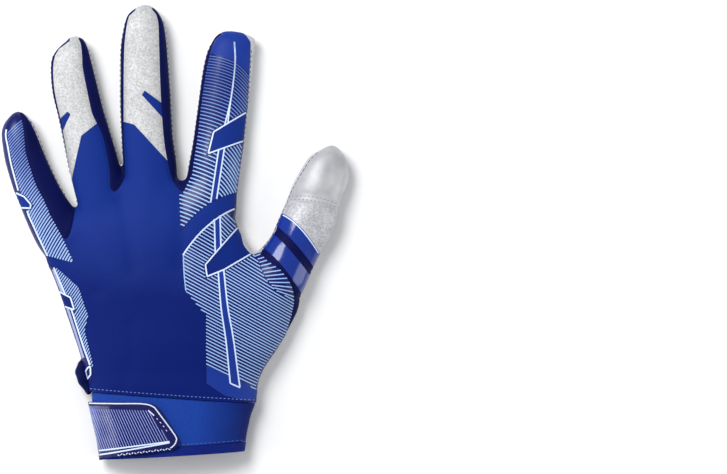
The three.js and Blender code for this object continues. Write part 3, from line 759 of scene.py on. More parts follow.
# Between which places up the hand the knuckles are stretched smooth, and how far a surface faces up for that
# and for pressed lines
KNUCKLES_START = (22, 45)
KNUCKLES_END = (112, 128)
KNUCKLES_FACING = (0.45, 0.8)
PRESSED_FACING = (0.1, 0.5)


def make_skin():
    """The whole hand as one closed outer surface, with its seams and folds pressed in."""
    skin = joined("skin", [palm_loft()] + [finger_loft(finger) for finger in FINGERS])
    remeshed(skin, VOXEL)
    points = points_of(skin)
    normals = normals_of(skin)
    # The knuckles are stretched smooth over the back of the hand, but the edges keep their shape
    root_band = ease(points[:, 1], *KNUCKLES_START) * (1 - ease(points[:, 1], *KNUCKLES_END))
    relax(skin, KNUCKLE_ROUNDS, root_band * ease(normals[:, 2], *KNUCKLES_FACING))
    relax(skin, SMOOTH_ROUNDS)
    points = points_of(skin)
    normals = normals_of(skin)
    up = ease(normals[:, 2], *PRESSED_FACING)
    inward = np.zeros(len(points))
    for line, depth, half_width, squareness in PRESSED:
        inward += depth * up * np.exp(-(distance_to_line(points, line) / half_width) ** squareness)
    inward += WAVE_DEPTH * waves(points, WAVE_LENGTH, WAVE_SEED) * up
    for line, depth, half_width in FOLDS:
        inward += depth * up * np.exp(-(distance_to_line(points, line) / half_width) ** 2)
    points -= normals * inward[:, None]
    set_points(skin, points)
    return skin


def offset_copy(made, name, distance):
    """A copy of a closed surface moved out along its normals."""
    twin = copy_of(made, name)
    set_points(twin, points_of(twin) + normals_of(twin) * distance)
    return twin


# How far the palm skin climbs above the side seam where it shows from above: the finger, its side (1 right,
# -1 left), and the lift near its root and near its tip
EDGE_LIFTS = (
    (PINKY, 1, 1.8, 2.8),
    (RING, 1, 1.6, 2.4),
    (MIDDLE, 1, 1.2, 1.8),
    (INDEX, 1, 1.3, 3.8),
    (THUMB, -1, 4.2, 4.2),
)
# Between which shares of a finger's length the edge starts to climb, changes from one lift to the other and
# comes down again, and the same two ends across its width
EDGE_START = (0.1, 0.25)
EDGE_CHANGE = (0.55, 0.85)
EDGE_END = (0.99, 1.04)
EDGE_INSIDE = (0.02, 0.25)
EDGE_OUTSIDE = (0.75, 0.95)

# The split solid's reach in plan, its bottom and its step
SPLIT_X = (-110, 111)
SPLIT_Y = (-60, 221)
SPLIT_BOTTOM = -60
SPLIT_STEP = 2.0


def split_height(points):
    """Height of the line where the palm skin ends and the back begins."""
    height = np.full(len(points), float(SEAM_HEIGHT))
    for finger, side, low, high in EDGE_LIFTS:
        t, s = place_on(finger, points)
        lift = (low + (high - low) * ease(t, *EDGE_CHANGE)) * ease(s * side, *EDGE_INSIDE)
        lift = lift * (1 - ease(s * side, *EDGE_OUTSIDE)) * ease(t, *EDGE_START)
        height += lift * (1 - ease(t, *EDGE_END))
    return height


def make_split():
    """A solid that fills everything below the palm skin's upper edge."""
    x, y = np.arange(*SPLIT_X, SPLIT_STEP), np.arange(*SPLIT_Y, SPLIT_STEP)
    grid_x, grid_y = np.meshgrid(x, y)
    top = np.column_stack([grid_x.ravel(), grid_y.ravel(), np.zeros(grid_x.size)])
    top[:, 2] = split_height(top)
    low = top.copy()
    low[:, 2] = SPLIT_BOTTOM
    columns, rows, count = len(x), len(y), len(top)
    faces = []
    for j in range(rows - 1):
        for i in range(columns - 1):
            a = j * columns + i
            faces.append((a, a + 1, a + columns + 1, a + columns))
            faces.append((a + count + columns, a + count + columns + 1, a + count + 1, a + count))
    rim = list(range(columns)) + [j * columns + columns - 1 for j in range(1, rows)]
    rim += [(rows - 1) * columns + i for i in range(columns - 2, -1, -1)]
    rim += [j * columns for j in range(rows - 2, 0, -1)]
    for a, b in zip(rim, rim[1:] + rim[:1]):
        faces.append((a, a + count, b + count, b))
    return new_object("split", np.concatenate([top, low]), faces)


# Materials

def colour(hex_code):
    """A linear colour from a screen colour."""
    parts = [int(hex_code[i:i + 2], 16) / 255 for i in (1, 3, 5)]
    return tuple(v / 12.92 if v <= 0.04045 else ((v + 0.055) / 1.055) ** 2.4 for v in parts) + (1.0,)


class Look:
    """A material with its principled shader and a way to add nodes."""

    def __init__(self, name, base, rough, **values):
        self.material = bpy.data.materials.new(name)
        self.material.use_nodes = True
        self.nodes = self.material.node_tree.nodes
        self.links = self.material.node_tree.links
        self.shader = self.nodes["Principled BSDF"]
        self.shader.inputs["Base Color"].default_value = colour(base)
        self.shader.inputs["Roughness"].default_value = rough
        for key, value in values.items():
            self.shader.inputs[key.replace("_", " ")].default_value = value
        self.place = self.nodes.new("ShaderNodeTexCoord").outputs["Object"]

    def node(self, kind, **values):
        """A node with some of its sockets or settings set."""
        made = self.nodes.new(kind)
        for key, value in values.items():
            if key in made.inputs:
                made.inputs[key].default_value = value
            else:
                setattr(made, key, value)
        return made

    def noise(self, scale, detail):
        """Noise in the object's own space."""
        made = self.node("ShaderNodeTexNoise", Scale=scale, Detail=detail)
        self.links.new(self.place, made.inputs["Vector"])
        return made.outputs["Fac"]

    def share(self, axis, low, high):
        """0 at one place along an axis and 1 at another, in millimetres from the cuff seam's middle."""
        parts = self.node("ShaderNodeSeparateXYZ")
        self.links.new(self.place, parts.inputs[0])
        made = self.node("ShaderNodeMapRange")
        start = CUFF_SEAM_MIDDLE["XYZ".index(axis)]
        made.inputs["From Min"].default_value = (low + start) * MM
        made.inputs["From Max"].default_value = (high + start) * MM
        self.links.new(parts.outputs[axis], made.inputs["Value"])
        return made.outputs["Result"]

    def blend(self, first, second, share):
        """A value between two others."""
        made = self.node("ShaderNodeMix")
        made.inputs[0].default_value = share
        self.links.new(first, made.inputs[2])
        self.links.new(second, made.inputs[3])
        return made.outputs[0]

    def weave(self, pitch, turn=0.0):
        """A fine two-way rib, from 0 to 1."""
        ribs = self.node("ShaderNodeMath", operation="MULTIPLY")
        for socket, angle in enumerate((turn, turn + 90)):
            mapping = self.node("ShaderNodeMapping")
            mapping.inputs["Rotation"].default_value = (0, 0, math.radians(angle))
            self.links.new(self.place, mapping.inputs["Vector"])
            wave = self.node("ShaderNodeTexWave", Scale=1 / (pitch * MM) / FULL_TURN * 0.5, Distortion=0.4)
            wave.inputs["Detail Scale"].default_value = 2.0
            self.links.new(mapping.outputs["Vector"], wave.inputs["Vector"])
            self.links.new(wave.outputs["Fac"], ribs.inputs[socket])
        return ribs.outputs[0]

    def tint(self, fac, low, high, start=0.35, end=0.65):
        """Colours the surface between two shades by a value."""
        ramp = self.node("ShaderNodeValToRGB")
        ramp.color_ramp.elements[0].position = start
        ramp.color_ramp.elements[1].position = end
        ramp.color_ramp.elements[0].color = colour(low)
        ramp.color_ramp.elements[1].color = colour(high)
        self.links.new(fac, ramp.inputs["Fac"])
        self.links.new(ramp.outputs["Color"], self.shader.inputs["Base Color"])

    def mottle(self, tone, low, high, fade, share):
        """Two shades mixed by a tone. fade: an axis and two places between which the low one gives way."""
        if fade:
            tone = self.blend(tone, self.share(*fade), share)
        self.tint(tone, low, high, 0.25, 0.75)

    def bump(self, height, distance):
        """Relief, one on another."""
        made = self.node("ShaderNodeBump", Distance=distance * MM, Strength=1.0)
        self.links.new(height, made.inputs["Height"])
        before = self.shader.inputs["Normal"].links
        if before:
            self.links.new(before[0].from_socket, made.inputs["Normal"])
        self.links.new(made.outputs["Normal"], self.shader.inputs["Normal"])


def knit(name, low, high, rough=0.6, pitch=0.55, relief=0.05, fade=None):
    """A fine stretch knit. fade: painted shade, from the low shade to the high one along an axis."""
    look = Look(name, high, rough, Sheen_Weight=0.015, Sheen_Roughness=0.4, Specular_IOR_Level=0.08)
    look.mottle(look.noise(60, 4), low, high, fade, 0.75)
    look.bump(look.weave(pitch, 20), relief)
    look.bump(look.noise(350, 2), relief)
    return look.material


def film(name, low, high, rough, coat=0.0, fade=None):
    """A smooth bonded film."""
    look = Look(name, high, rough, Specular_IOR_Level=0.2, Coat_Weight=coat, Coat_Roughness=0.12)
    look.mottle(look.noise(90, 3), low, high, fade, 0.8)
    look.bump(look.noise(700, 2), 0.02)
    return look.material


def sparkle(name, low, high, rough):
    """A silver film full of fine glitter."""
    look = Look(name, high, rough, Metallic=0.2)
    cells = look.node("ShaderNodeTexVoronoi", Scale=1700.0)
    look.links.new(look.place, cells.inputs["Vector"])
    grey = look.node("ShaderNodeSeparateColor")
    look.links.new(cells.outputs["Color"], grey.inputs["Color"])
    look.tint(look.blend(grey.outputs["Red"], look.noise(260, 3), 0.4), low, high, 0.15, 0.8)
    look.bump(grey.outputs["Green"], 0.03)
    return look.material


def make_materials():
    """Every finish on the glove."""
    leather = Look("palm_hide", "#b9b9bd", 0.36)
    leather.tint(leather.noise(120, 4), "#aeaeb3", "#c2c2c6")
    leather.bump(leather.noise(900, 3), 0.05)
    cap = Look("thumb_leather", "#b4b4b6", 0.5, Metallic=0.2)
    cap.tint(cap.noise(70, 4), "#a5a5a9", "#c3c3c6")
    cap.bump(cap.noise(800, 3), 0.04)
    return {
        # Painted shade: the back knit goes from its darker shade towards the wrist to its lighter one at the
        # knuckles.
        "back": knit("back_knit_painted_shade", "#041a66", "#102c7e", fade=("Y", 45, 105)),
        "strip": knit("side_knit", "#02083c", "#050e4c", 0.62, relief=0.04),
        # Painted shade: the cuff knit is darker towards its right side, where it curves down.
        "cuff": knit("cuff_knit_painted_shade", "#081c62", "#173c94", 0.6, 0.8, relief=0.09, fade=("X", 44, 8)),
        "hem": knit("hem_knit", "#0a1a66", "#0f2376", 0.65, 0.8, relief=0.08),
        "silver": sparkle("silver_glitter", "#a2a2a4", "#cccccd", 0.58),
        "patch": sparkle("thumb_glitter", "#9a9a9f", "#c8c8cc", 0.5),
        "printed": film("dark_print", "#040e52", "#06125e", 0.38, coat=0.12),
        "plain": film("plain_print", "#0b2d86", "#0f3390", 0.55),
        "line": film("stripe_print", "#98baec", "#4f6fbe", 0.45, fade=("Y", 105, 180)),
        "side_line": film("side_print", "#98b8ec", "#6c8ad0", 0.45, fade=("Y", 75, 145)),
        "strap_line": film("strap_print", "#8492dc", "#98a5e4", 0.35, coat=0.2),
        "bright": film("line_print", "#c6d6f6", "#d6e4fb", 0.42),
        "band": film("band_gloss", "#0a2a84", "#0d2f8c", 0.14, coat=0.5),
        "strap": film("strap_border", "#050d4c", "#071256", 0.4, coat=0.05),
        # Painted reflection: the strap's glossy field lightens towards its left end.
        "inset": film("strap_gloss_painted_reflection", "#060e50", "#5d6ba8", 0.24, coat=0.4, fade=("X", -34, -44)),
        "piping": film("white_piping", "#cdd3ea", "#e0e5f4", 0.45),
        "heel_band": film("pale_band", "#8c96c6", "#a2abd6", 0.45),
        "leather": leather.material,
        "cap": cap.material,
        "thread": film("pale_thread", "#5f76c0", "#7186cc", 0.7),
        "dark_thread": film("dark_thread", "#1b2350", "#20295c", 0.7),
        "hem_thread": film("hem_thread", "#36529f", "#4663b4", 0.7),
        "grey_thread": film("grey_thread", "#8a8a90", "#a2a2a8", 0.6),
    }


def dress(made, name, look, slot, *nodes):
    """Names a finished piece, gives it its finish, hangs it from the root and hides the solids it stands for.
    """
    made.name = name + "_detail"
    made.data.name = name + "_detail"
    made.data.materials.clear()
    made.data.materials.append(LOOK[look])
    made.data.shade_smooth()
    made.data.set_sharp_from_angle(angle=math.radians(SHARP_ANGLE))
    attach(made, "root")
    if nodes:
        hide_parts(*nodes)


# Panels

def panel(layer, outline, holes=()):
    """The part of a layer inside an outline, less some openings."""
    piece = cut_along(copy_of(layer, "panel"), outline, "INTERSECT")
    for hole in holes:
        cut_along(piece, hole, "DIFFERENCE")
    return piece


def beyond(line):
    """Everything on the finger side of a line across the wrist."""
    return np.vstack([line, [FAR, FAR], [-FAR, FAR]])


# Height from which lines are dropped, and how far a level ray looks
DROP_HEIGHT = 100
LOOK_REACH = 20


class Draper:
    """Lays lines drawn in plan on to a surface."""

    def __init__(self, made):
        mesh = made.data
        mesh.calc_loop_triangles()
        self.tree = BVHTree.FromPolygons(
            [v.co.copy() for v in mesh.vertices], [tuple(t.vertices) for t in mesh.loop_triangles])

    def hit(self, start, height, direction, reach):
        """Where a ray from a plan point at some height meets the surface, and the normal there, or None."""
        origin = (np.append(start, height) + CUFF_SEAM_MIDDLE) * MM
        place, normal, _, _ = self.tree.ray_cast(Vector(origin), Vector(direction), reach * MM)
        if place is None:
            return None
        return np.array(place) / MM - CUFF_SEAM_MIDDLE, np.array(normal)

    def look(self, start, direction, height):
        """What a level ray at some height meets."""
        return self.hit(start, height, (*direction, 0), LOOK_REACH)

    def drop(self, point):
        """What lies under a plan point."""
        return self.hit(point, DROP_HEIGHT, (0, 0, -1), FAR)


# Lines and stitches stop where a surface gets steeper than these upward shares, and runs of fewer points than
# these are left out
STEEPEST = 0.14
STEEPEST_STITCH = 0.1
SHORTEST_RUN = 3
SHORTEST_STRETCH = 6


def left_of(line):
    """Steps of one millimetre to the left of a line, one for each of its points."""
    along = np.gradient(line, axis=0)
    along /= np.maximum(np.linalg.norm(along, axis=1), TINY)[:, None]
    return np.column_stack([-along[:, 1], along[:, 0]])


def beside(line, distance):
    """A line shifted to its left in plan, by one distance or one for each point."""
    return line + left_of(line) * np.broadcast_to(distance, len(line))[:, None]


def ribbon(draper, line, width, lift, sink):
    """Closed thin strips along a plan line, broken where the surface ends. The width may change along it."""
    line = np.asarray(line, float)
    half = np.broadcast_to(width, len(line)) / 2
    runs, run = [], []
    for point, step in zip(line, left_of(line) * half[:, None]):
        a, b = draper.drop(point + step), draper.drop(point - step)
        if a is None or b is None or min(a[1][2], b[1][2]) < STEEPEST:
            runs.append(run)
            run = []
            continue
        run.append((a[0] + a[1] * lift, b[0] + b[1] * lift, b[0] - b[1] * sink, a[0] - a[1] * sink))
    runs.append(run)
    parts = []
    for run in runs:
        if len(run) < SHORTEST_RUN:
            continue
        faces = [(0, 1, 2, 3)]
        for i in range(len(run) - 1):
            a, b = 4 * i, 4 * i + 4
            faces += [(a + k, b + k, b + (k + 1) % 4, a + (k + 1) % 4) for k in range(4)]
        end = 4 * (len(run) - 1)
        faces.append((end + 3, end + 2, end + 1, end))
        parts.append((np.array(run).reshape(-1, 3), faces))
    return parts


def inside(points, outline):
    """Which points lie inside an outline."""
    outline = np.asarray(outline, float)
    result = np.zeros(len(points), bool)
    x, y = points[:, 0], points[:, 1]
    for (x1, y1), (x2, y2) in zip(outline, np.roll(outline, -1, axis=0)):
        if y1 == y2:
            continue
        result ^= ((y1 > y) != (y2 > y)) & (x < (x2 - x1) * (y - y1) / (y2 - y1) + x1)
    return result


def resampled(line, step):
    """A line cut into even steps."""
    line = np.asarray(line, float)
    at = distances(line)
    count = max(int(round(at[-1] / step)), 1)
    fine = np.linspace(0, at[-1], count + 1)
    return np.column_stack([np.interp(fine, at, line[:, 0]), np.interp(fine, at, line[:, 1])])


def clipped(line, regions, holes=()):
    """The stretches of a line that lie inside every region and outside every hole."""
    fine = resampled(line, CLIP_STEP)
    keep = np.ones(len(fine), bool)
    for region in regions:
        keep &= inside(fine, region)
    for hole in holes:
        keep &= ~inside(fine, hole)
    runs, start = [], None
    for i, ok in enumerate(list(keep) + [False]):
        if ok and start is None:
            start = i
        if not ok and start is not None:
            if i - start >= SHORTEST_STRETCH:
                runs.append(resampled(fine[start:i], LINE_STEP))
            start = None
    return runs


def trimmed(lines, regions, holes=()):
    """The stretches of several lines inside some regions and outside some holes."""
    return [run for line in lines for run in clipped(line, regions, holes)]


def stripes(anchors, angles, reach, pitches, regions, holes=(), bends=(0.0, 0.0)):
    """Lines through a line of anchors. Angles, pitches and bends change from its start to its end."""
    anchors = resampled(anchors, ANCHOR_STEP)
    at = distances(anchors)
    places, lines = [0.0], []
    while places[-1] < at[-1]:
        grow = 1 - (1 - places[-1] / at[-1]) ** PITCH_GROWTH
        places.append(places[-1] + pitches[0] + (pitches[1] - pitches[0]) * grow)
    far = np.linspace(reach[0], reach[1], STRIPE_POINTS)[:, None]
    for place in places:
        u = place / at[-1]
        anchor = np.array([np.interp(place, at, anchors[:, 0]), np.interp(place, at, anchors[:, 1])])
        angle = math.radians(angles[0] + (angles[1] - angles[0]) * u)
        along = np.array([math.cos(angle), math.sin(angle)])
        across = np.array([-along[1], along[0]])
        bend = bends[0] + (bends[1] - bends[0]) * u
        lines += clipped(anchor + far * along - bend / 2 * far**2 * across, regions, holes)
    return lines


def tapered(low, high, wide, narrow):
    """A width that narrows towards the fingertips, between two places along the hand."""
    return lambda line: wide + (narrow - wide) * ease(line[:, 1], low, high)


def draw(draper, name, lines, width, look, slot, lift, sink=PRINT_SINK):
    """One mesh of all the printed lines of a piece."""
    parts = []
    for line in lines:
        parts += ribbon(draper, line, width(line) if callable(width) else width, lift, sink)
    dress(joined(name, parts), name, look, slot)


def stitches(draper, line, length, gap, radius, lift):
    """Rounded stitches along a plan line."""
    parts = []
    fine = resampled(line, length + gap)
    for start, end in zip(fine[:-1], fine[1:]):
        far = start + (end - start) * length / (length + gap)
        a, b = draper.drop(start), draper.drop(far)
        if a is None or b is None or min(a[1][2], b[1][2]) < STEEPEST_STITCH:
            continue
        parts.append(capsule(a[0] + a[1] * lift, b[0] + b[1] * lift, (a[1] + b[1]) / 2, radius))
    return parts


def zigzag(line, step, reach):
    """A line that swings to either side of another."""
    fine = resampled(line, step)
    return beside(fine, reach * (1 - 2 * (np.arange(len(fine)) % 2)))


# Rings of a stitch: share of its length, and size and height in radii of its thread
STITCH_RINGS = (
    (0.0, 0.35, -0.6), (0.12, 0.85, -0.1), (0.35, 1.0, 0.25),
    (0.65, 1.0, 0.25), (0.88, 0.85, -0.1), (1.0, 0.35, -0.6),
)


def capsule(start, end, up, radius, sides=8):
    """A short thread that dives in at both ends."""
    along = end - start
    length = np.linalg.norm(along)
    along = along / max(length, TINY)
    across = np.cross(along, up)
    across /= max(np.linalg.norm(across), TINY)
    rise = np.cross(across, along)
    points, faces = [], []
    for share, size, height in STITCH_RINGS:
        middle = start + along * length * share + rise * height * radius
        for k in range(sides):
            angle = 2 * math.pi * k / sides
            points.append(middle + radius * size * (math.cos(angle) * across + math.sin(angle) * rise))
    last = (len(STITCH_RINGS) - 1) * sides
    for r in range(0, last, sides):
        for k in range(sides):
            n = (k + 1) % sides
            faces.append((r + k, r + n, r + sides + n, r + sides + k))
    faces.append(tuple(range(sides - 1, -1, -1)))
    faces.append(tuple(last + k for k in range(sides)))
    return np.array(points), faces


def smooth_edge(made, width):
    """Rounds the sharp edges of a piece."""
    step = made.modifiers.new("edge", "BEVEL")
    step.width = width * MM
    step.segments = 2
    step.limit_method = "ANGLE"
    step.angle_limit = math.radians(ROUNDED_ANGLE)
    return bake(made)


def shell_of(outer, inner):
    """The wall between two closed lofts."""
    wall = new_object("wall", *outer)
    tool = new_object("tool", *inner)
    cut(wall, tool, "DIFFERENCE")
    remove(tool)
    return wall


# The strap's nose: how far down its point and its lower corner lie, how far back the corner lies, where the
# strap's lower edge ends, and how round the three corners are
STRAP_POINT = 0.66
STRAP_CHIN = 0.78
STRAP_CHIN_BACK = 0.27
STRAP_FOOT = 1.01
STRAP_ROUNDS = (1, 0.45, 0.35)


def strap_outline(inset=0.0):
    """The strap seen from above, drawn in by an inset."""
    outside = STRAP_EDGE - 2 * STRAP_CORNER
    nose = STRAP_EDGE + STRAP_REACH
    corners = grown([
        (outside, STRAP_HIGH),
        (nose - STRAP_NOSE, STRAP_HIGH),
        (nose, STRAP_HIGH - STRAP_POINT * STRAP_HEIGHT),
        (nose - STRAP_CHIN_BACK * STRAP_NOSE, STRAP_HIGH - STRAP_CHIN * STRAP_HEIGHT),
        (outside, STRAP_HIGH - STRAP_FOOT * STRAP_HEIGHT)], -inset)
    rounds = []
    for i, share in enumerate(STRAP_ROUNDS):
        rounds.append(rounded(*corners[i:i + 3], share * STRAP_CORNER - inset / 2))
    return np.vstack([corners[0], *rounds, corners[-1]])


# The folded edge of the opening beside the wrist. y: share of the palm's length. out: share of the bulge.
GUSSET_COLUMNS = ("y", "out", "size")
GUSSET_ROWS = (
    (0.19, 0.1, 0.5), (0.165, 0.45, 0.8), (0.12, 1.15, 1.0),
    (0.085, 0.95, 1.0), (0.05, 0.1, 0.85), (0.02, -0.5, 0.65),
)
GUSSET_PLACES = np.linspace(GUSSET_ROWS[-1][0], GUSSET_ROWS[0][0], 40)
GUSSET_LOW_END = 0.012
GUSSET_HIGH_END = 0.02
GUSSET_HIGH_TAPER = 0.9
GUSSET_WAVES = 2.5


def gusset_loft(sides=24):
    """The folded edge that bulges out past the heel of the hand."""
    y = GUSSET_PLACES
    out = column(GUSSET_ROWS, GUSSET_COLUMNS, "out", y)
    size = column(GUSSET_ROWS, GUSSET_COLUMNS, "size", y)
    size *= ease(y, y[0] - GUSSET_LOW_END, y[0] + GUSSET_LOW_END)
    size *= 1 - GUSSET_HIGH_TAPER * ease(y, y[-1] - GUSSET_HIGH_END, y[-1])
    follow = column(PALM_ROWS, PALM_COLUMNS, "wrist", y)
    edge = column(PALM_ROWS, PALM_COLUMNS, "left", y) * (PALM_WIDTH + (CUFF_WIDTH - PALM_WIDTH) * follow)
    ruffle = GUSSET_RUFFLE * np.sin(np.linspace(0, 2 * GUSSET_WAVES * math.pi, len(y)))
    centres = np.column_stack([-edge - out * GUSSET_BULGE + ruffle / 2, y * PALM_LENGTH])
    half = size * GUSSET_WIDTH / 2
    tall = size * (GUSSET_HEIGHT / 2 + ruffle)
    return loft(centres, RIGHT, 0.0, half, half + GUSSET_ROOT, tall, tall, sides)


LOOK = make_materials()
STRAP_HIGH = CUFF_END[0][1] + STRAP_HEIGHT
STRAP_EDGE = -CUFF_ROWS[1][1] * CUFF_WIDTH
skin = make_skin()
split = make_split()
hand_area = prism("hand_area", beyond(SEAM_LINE))

# Inside of the glove, and its outer shell cut at the cuff seam
hollow = offset_copy(skin, "hollow", -FABRIC_WALL)
remeshed(hollow, HOLLOW_VOXEL)
shell = cut(copy_of(skin, "shell"), hollow, "DIFFERENCE")
cut(shell, hand_area, "INTERSECT")
remove(hollow)

palm_side = cut(copy_of(shell, "palm_side"), split, "INTERSECT")
back_side = cut(copy_of(shell, "back_side"), split, "DIFFERENCE")
remove(shell)

dress(panel(palm_side, THUMB_AREA), "thumb_palm", "leather", "palm_leather", "thumb_palm")
cut_along(palm_side, THUMB_AREA, "DIFFERENCE")
dress(palm_side, "palm_panel", "leather", "palm_leather", "palm_panel")
dress(panel(back_side, THUMB_AREA), "thumb_back", "strip", "side_fabric", "thumb_back")
cut_along(back_side, THUMB_AREA, "DIFFERENCE")
for name, outline in STRIPS.items():
    dress(panel(back_side, outline), name, "strip", "side_fabric", name)
for outline in STRIPS.values():
    cut_along(back_side, outline, "DIFFERENCE")
dress(back_side, "back_panel", "back", "back_fabric", "back_panel")

# Films are thin shells bonded on to the back
film_out = offset_copy(skin, "film_out", FILM_LIFT)
film_in = offset_copy(skin, "film_in", -FILM_SINK)
film_layer = cut(cut(cut(film_out, film_in, "DIFFERENCE"), split, "DIFFERENCE"), hand_area, "INTERSECT")
remove(film_in)
FILMS = (
    ("ring_film", RING_FILM, [RING_NOTCH], "silver", "silver_film"),
    ("middle_film", MIDDLE_FILM, [MIDDLE_NOTCH], "silver", "silver_film"),
    ("index_film", INDEX_FILM, [INDEX_NOTCH], "printed", "printed_film"),
    ("hand_film", HAND_FILM, [WEB_NOTCH], "printed", "printed_film"),
    ("pinky_film", PINKY_FILM, [PINKY_NOTCH], "printed", "printed_film"),
    ("heel_film", HEEL_FILM, [HEEL_NOTCH], "printed", "printed_film"),
    ("thumb_cap", THUMB_CAP, [], "cap", "palm_leather"),
    ("thumb_patch", thumb_band("cap", "patch"), [], "patch", "silver_film"),
    ("thumb_band_upper", thumb_band("patch", "band_one_low"), [], "band", "glossy_band"),
    ("thumb_band_lower", thumb_band("band_two_high", "band_two_low"), [], "band", "glossy_band"),
)
for name, outline, holes, look, slot in FILMS:
    dress(panel(film_layer, outline, holes), name, look, slot, name)

# The wrist: knitted cuff, turned hem, closing strap and the fold beside it
CUFF_EDGE = 0.35
HEM_EDGE = 0.5
STRAP_SOFT_EDGE = 0.4
STRAP_UNDER_FOOT = 0.94
FIELD_DEPTH = 3
OVERLAP = 0.01

# Each with its inset, the lines above and below it, how round its edges are, its finish and its slot
WRIST_PIECES = (
    ("cuff", CUFF_INSET, SEAM_LINE - [0, JOINT], HEM_TOP, CUFF_EDGE, "cuff", "cuff_fabric"),
    ("cuff_hem", 0, HEM_TOP - [0, JOINT], CUFF_END, HEM_EDGE, "hem", "side_fabric"),
)
for name, inset, high, low, edge, look, slot in WRIST_PIECES:
    wall = shell_of(cuff_loft(inset), cuff_loft(CUFF_INSET + CUFF_WALL))
    dress(smooth_edge(panel(wall, band(high, low)), edge), name, look, slot, name)
    remove(wall)
strap_face = -JOINT - STRAP_THICKNESS
strap_wall = shell_of(cuff_loft(strap_face), cuff_loft(-JOINT))
strap_area = prism("strap_area", strap_outline(), SEAM_HEIGHT, FAR)
under_corners = np.array([
    (-2 * STRAP_CORNER, 0), (STRAP_UNDER, 0), (STRAP_UNDER, -STRAP_UNDER_FOOT * STRAP_HEIGHT),
    (-2 * STRAP_CORNER, -STRAP_FOOT * STRAP_HEIGHT)])
under_area = prism("under_area", under_corners + [STRAP_EDGE, STRAP_HIGH], -FAR, SEAM_HEIGHT + OVERLAP)
cut(strap_area, under_area, "UNION")
strap = cut(strap_wall, strap_area, "INTERSECT")
remove(strap_area, under_area)
strap_top = Draper(strap)
# The field's finish carries a painted reflection towards the strap's left end.
field = shell_of(cuff_loft(strap_face - FIELD_LIFT), cuff_loft(strap_face + FIELD_SINK))
cut_along(field, strap_outline(RIM_WIDTH + FIELD_MARGIN), "INTERSECT", SEAM_HEIGHT - FIELD_DEPTH, FAR)
dress(field, "strap_field", "inset", "strap_film")
dress(smooth_edge(strap, STRAP_SOFT_EDGE), "wrist_strap", "strap", "strap_film", "wrist_strap")
gusset = cut(new_object("gusset", *gusset_loft()), skin, "DIFFERENCE")
tool = new_object("tool", *cuff_loft(strap_face - JOINT))
dress(cut(gusset, tool, "DIFFERENCE"), "side_gusset", "strip", "side_fabric", "side_gusset")
remove(tool)

# Printed lines. A spine is the middle line between two bold ones, and its gap their distance from it.
film_top = Draper(film_layer)
INDEX_SPINE = curve(on_finger(
    INDEX, (0.948, -0.016), (0.848, 0.05), (0.709, 0.063), (0.545, 0.033), (0.411, 0.0), (0.157, -0.025),
    (0.06, -0.03)))
WEB_SPINE = resampled(on_hand((0.268, 0.9), (0.272, 0.826), (0.278, 0.68), (0.284, 0.62)), 2)
HAND_SPINE = curve(on_hand((0.288, 0.63), (0.297, 0.579), (0.317, 0.422), (0.347, 0.276), (0.377, 0.071)))
INDEX_GAP = 1.4 * ease(np.linspace(0, 1, len(INDEX_SPINE)), 0.3, 0.62)
WEB_GAP = 1.5
HAND_GAP = np.linspace(1.4, 2.3, len(HAND_SPINE))


def spine_lines(spine, gap):
    """The two bold lines beside a spine."""
    return [beside(spine, gap), beside(spine, -gap)]


def channel(spine, gap):
    """The area between the two lines of a spine."""
    return band(*spine_lines(spine, gap))


def closed(outline):
    """An outline that ends where it starts."""
    return np.vstack([outline, outline[:1]])


def long_line(line, reach=40):
    """A line carried on straight past its end."""
    step = line[-1] - line[-2]
    return np.vstack([line, line[-1] + step / np.linalg.norm(step) * reach])


INDEX_CHANNEL = channel(INDEX_SPINE, INDEX_GAP + STRIPE_WIDTH / 2)
WEB_CHANNEL = channel(WEB_SPINE, WEB_GAP + STRIPE_WIDTH / 2)
HAND_CHANNEL = channel(HAND_SPINE, HAND_GAP + STRIPE_WIDTH / 2)
# The long channel ends on a slant, lower on its thumb side
HAND_CHANNEL_LINES = channel(HAND_SPINE, HAND_GAP)
HAND_CHANNEL_LINES[len(HAND_SPINE) - 1] += [0.3, -1.4]
HAND_CHANNEL_LINES[len(HAND_SPINE)] += [-0.2, 1.4]
ABOVE_FIN = on_hand((0.0, 0.5), (0.19, 0.59), (0.55, 0.77), (0.8, 1.2), (0.0, 1.2))
BELOW_FIN = on_hand((0.0, 0.5), (0.19, 0.59), (0.55, 0.77), (1.1, 0.8), (1.1, -0.3), (0.0, -0.3))
FAN_STARTS = curve(on_hand(
    (0.5, 0.658), (0.521, 0.628), (0.537, 0.596), (0.559, 0.56), (0.584, 0.533), (0.622, 0.501)))
FAN_ENDS = curve(on_hand(
    (0.525, 0.666), (0.59, 0.641), (0.645, 0.602), (0.691, 0.554), (0.715, 0.504), (0.722, 0.473)))
FAN_AREA = np.vstack([
    FAN_STARTS - [0.3, 0.2], on_hand((0.623, 0.494), (0.73, 0.462), (1.0, 0.38), (1.0, 0.75), (0.5, 0.72))])
PLAIN_CORNER = on_hand(
    (0.15, 0.168), (0.214, 0.164), (0.339, 0.12), (0.41, 0.093), (0.6, 0.0), (0.6, -0.1), (0.15, -0.1))
PLAIN_TIP = on_finger(
    INDEX, (0.884, -0.9), (0.876, -0.41), (0.858, -0.02), (0.846, 0.08), (0.81, 0.3), (0.785, 0.41),
    (0.76, 0.9), (1.1, 0.9), (1.1, -0.9))
PINKY_EDGE = on_finger(PINKY, (0.38, -0.47), (0.353, -0.475), (0.2, -0.405), (0.04, -0.325))
PINKY_HIGH_EDGE = curve(on_finger(
    PINKY, (0.91, -0.36), (0.87, -0.42), (0.8, -0.45), (0.69, -0.5), (0.52, -0.53)))
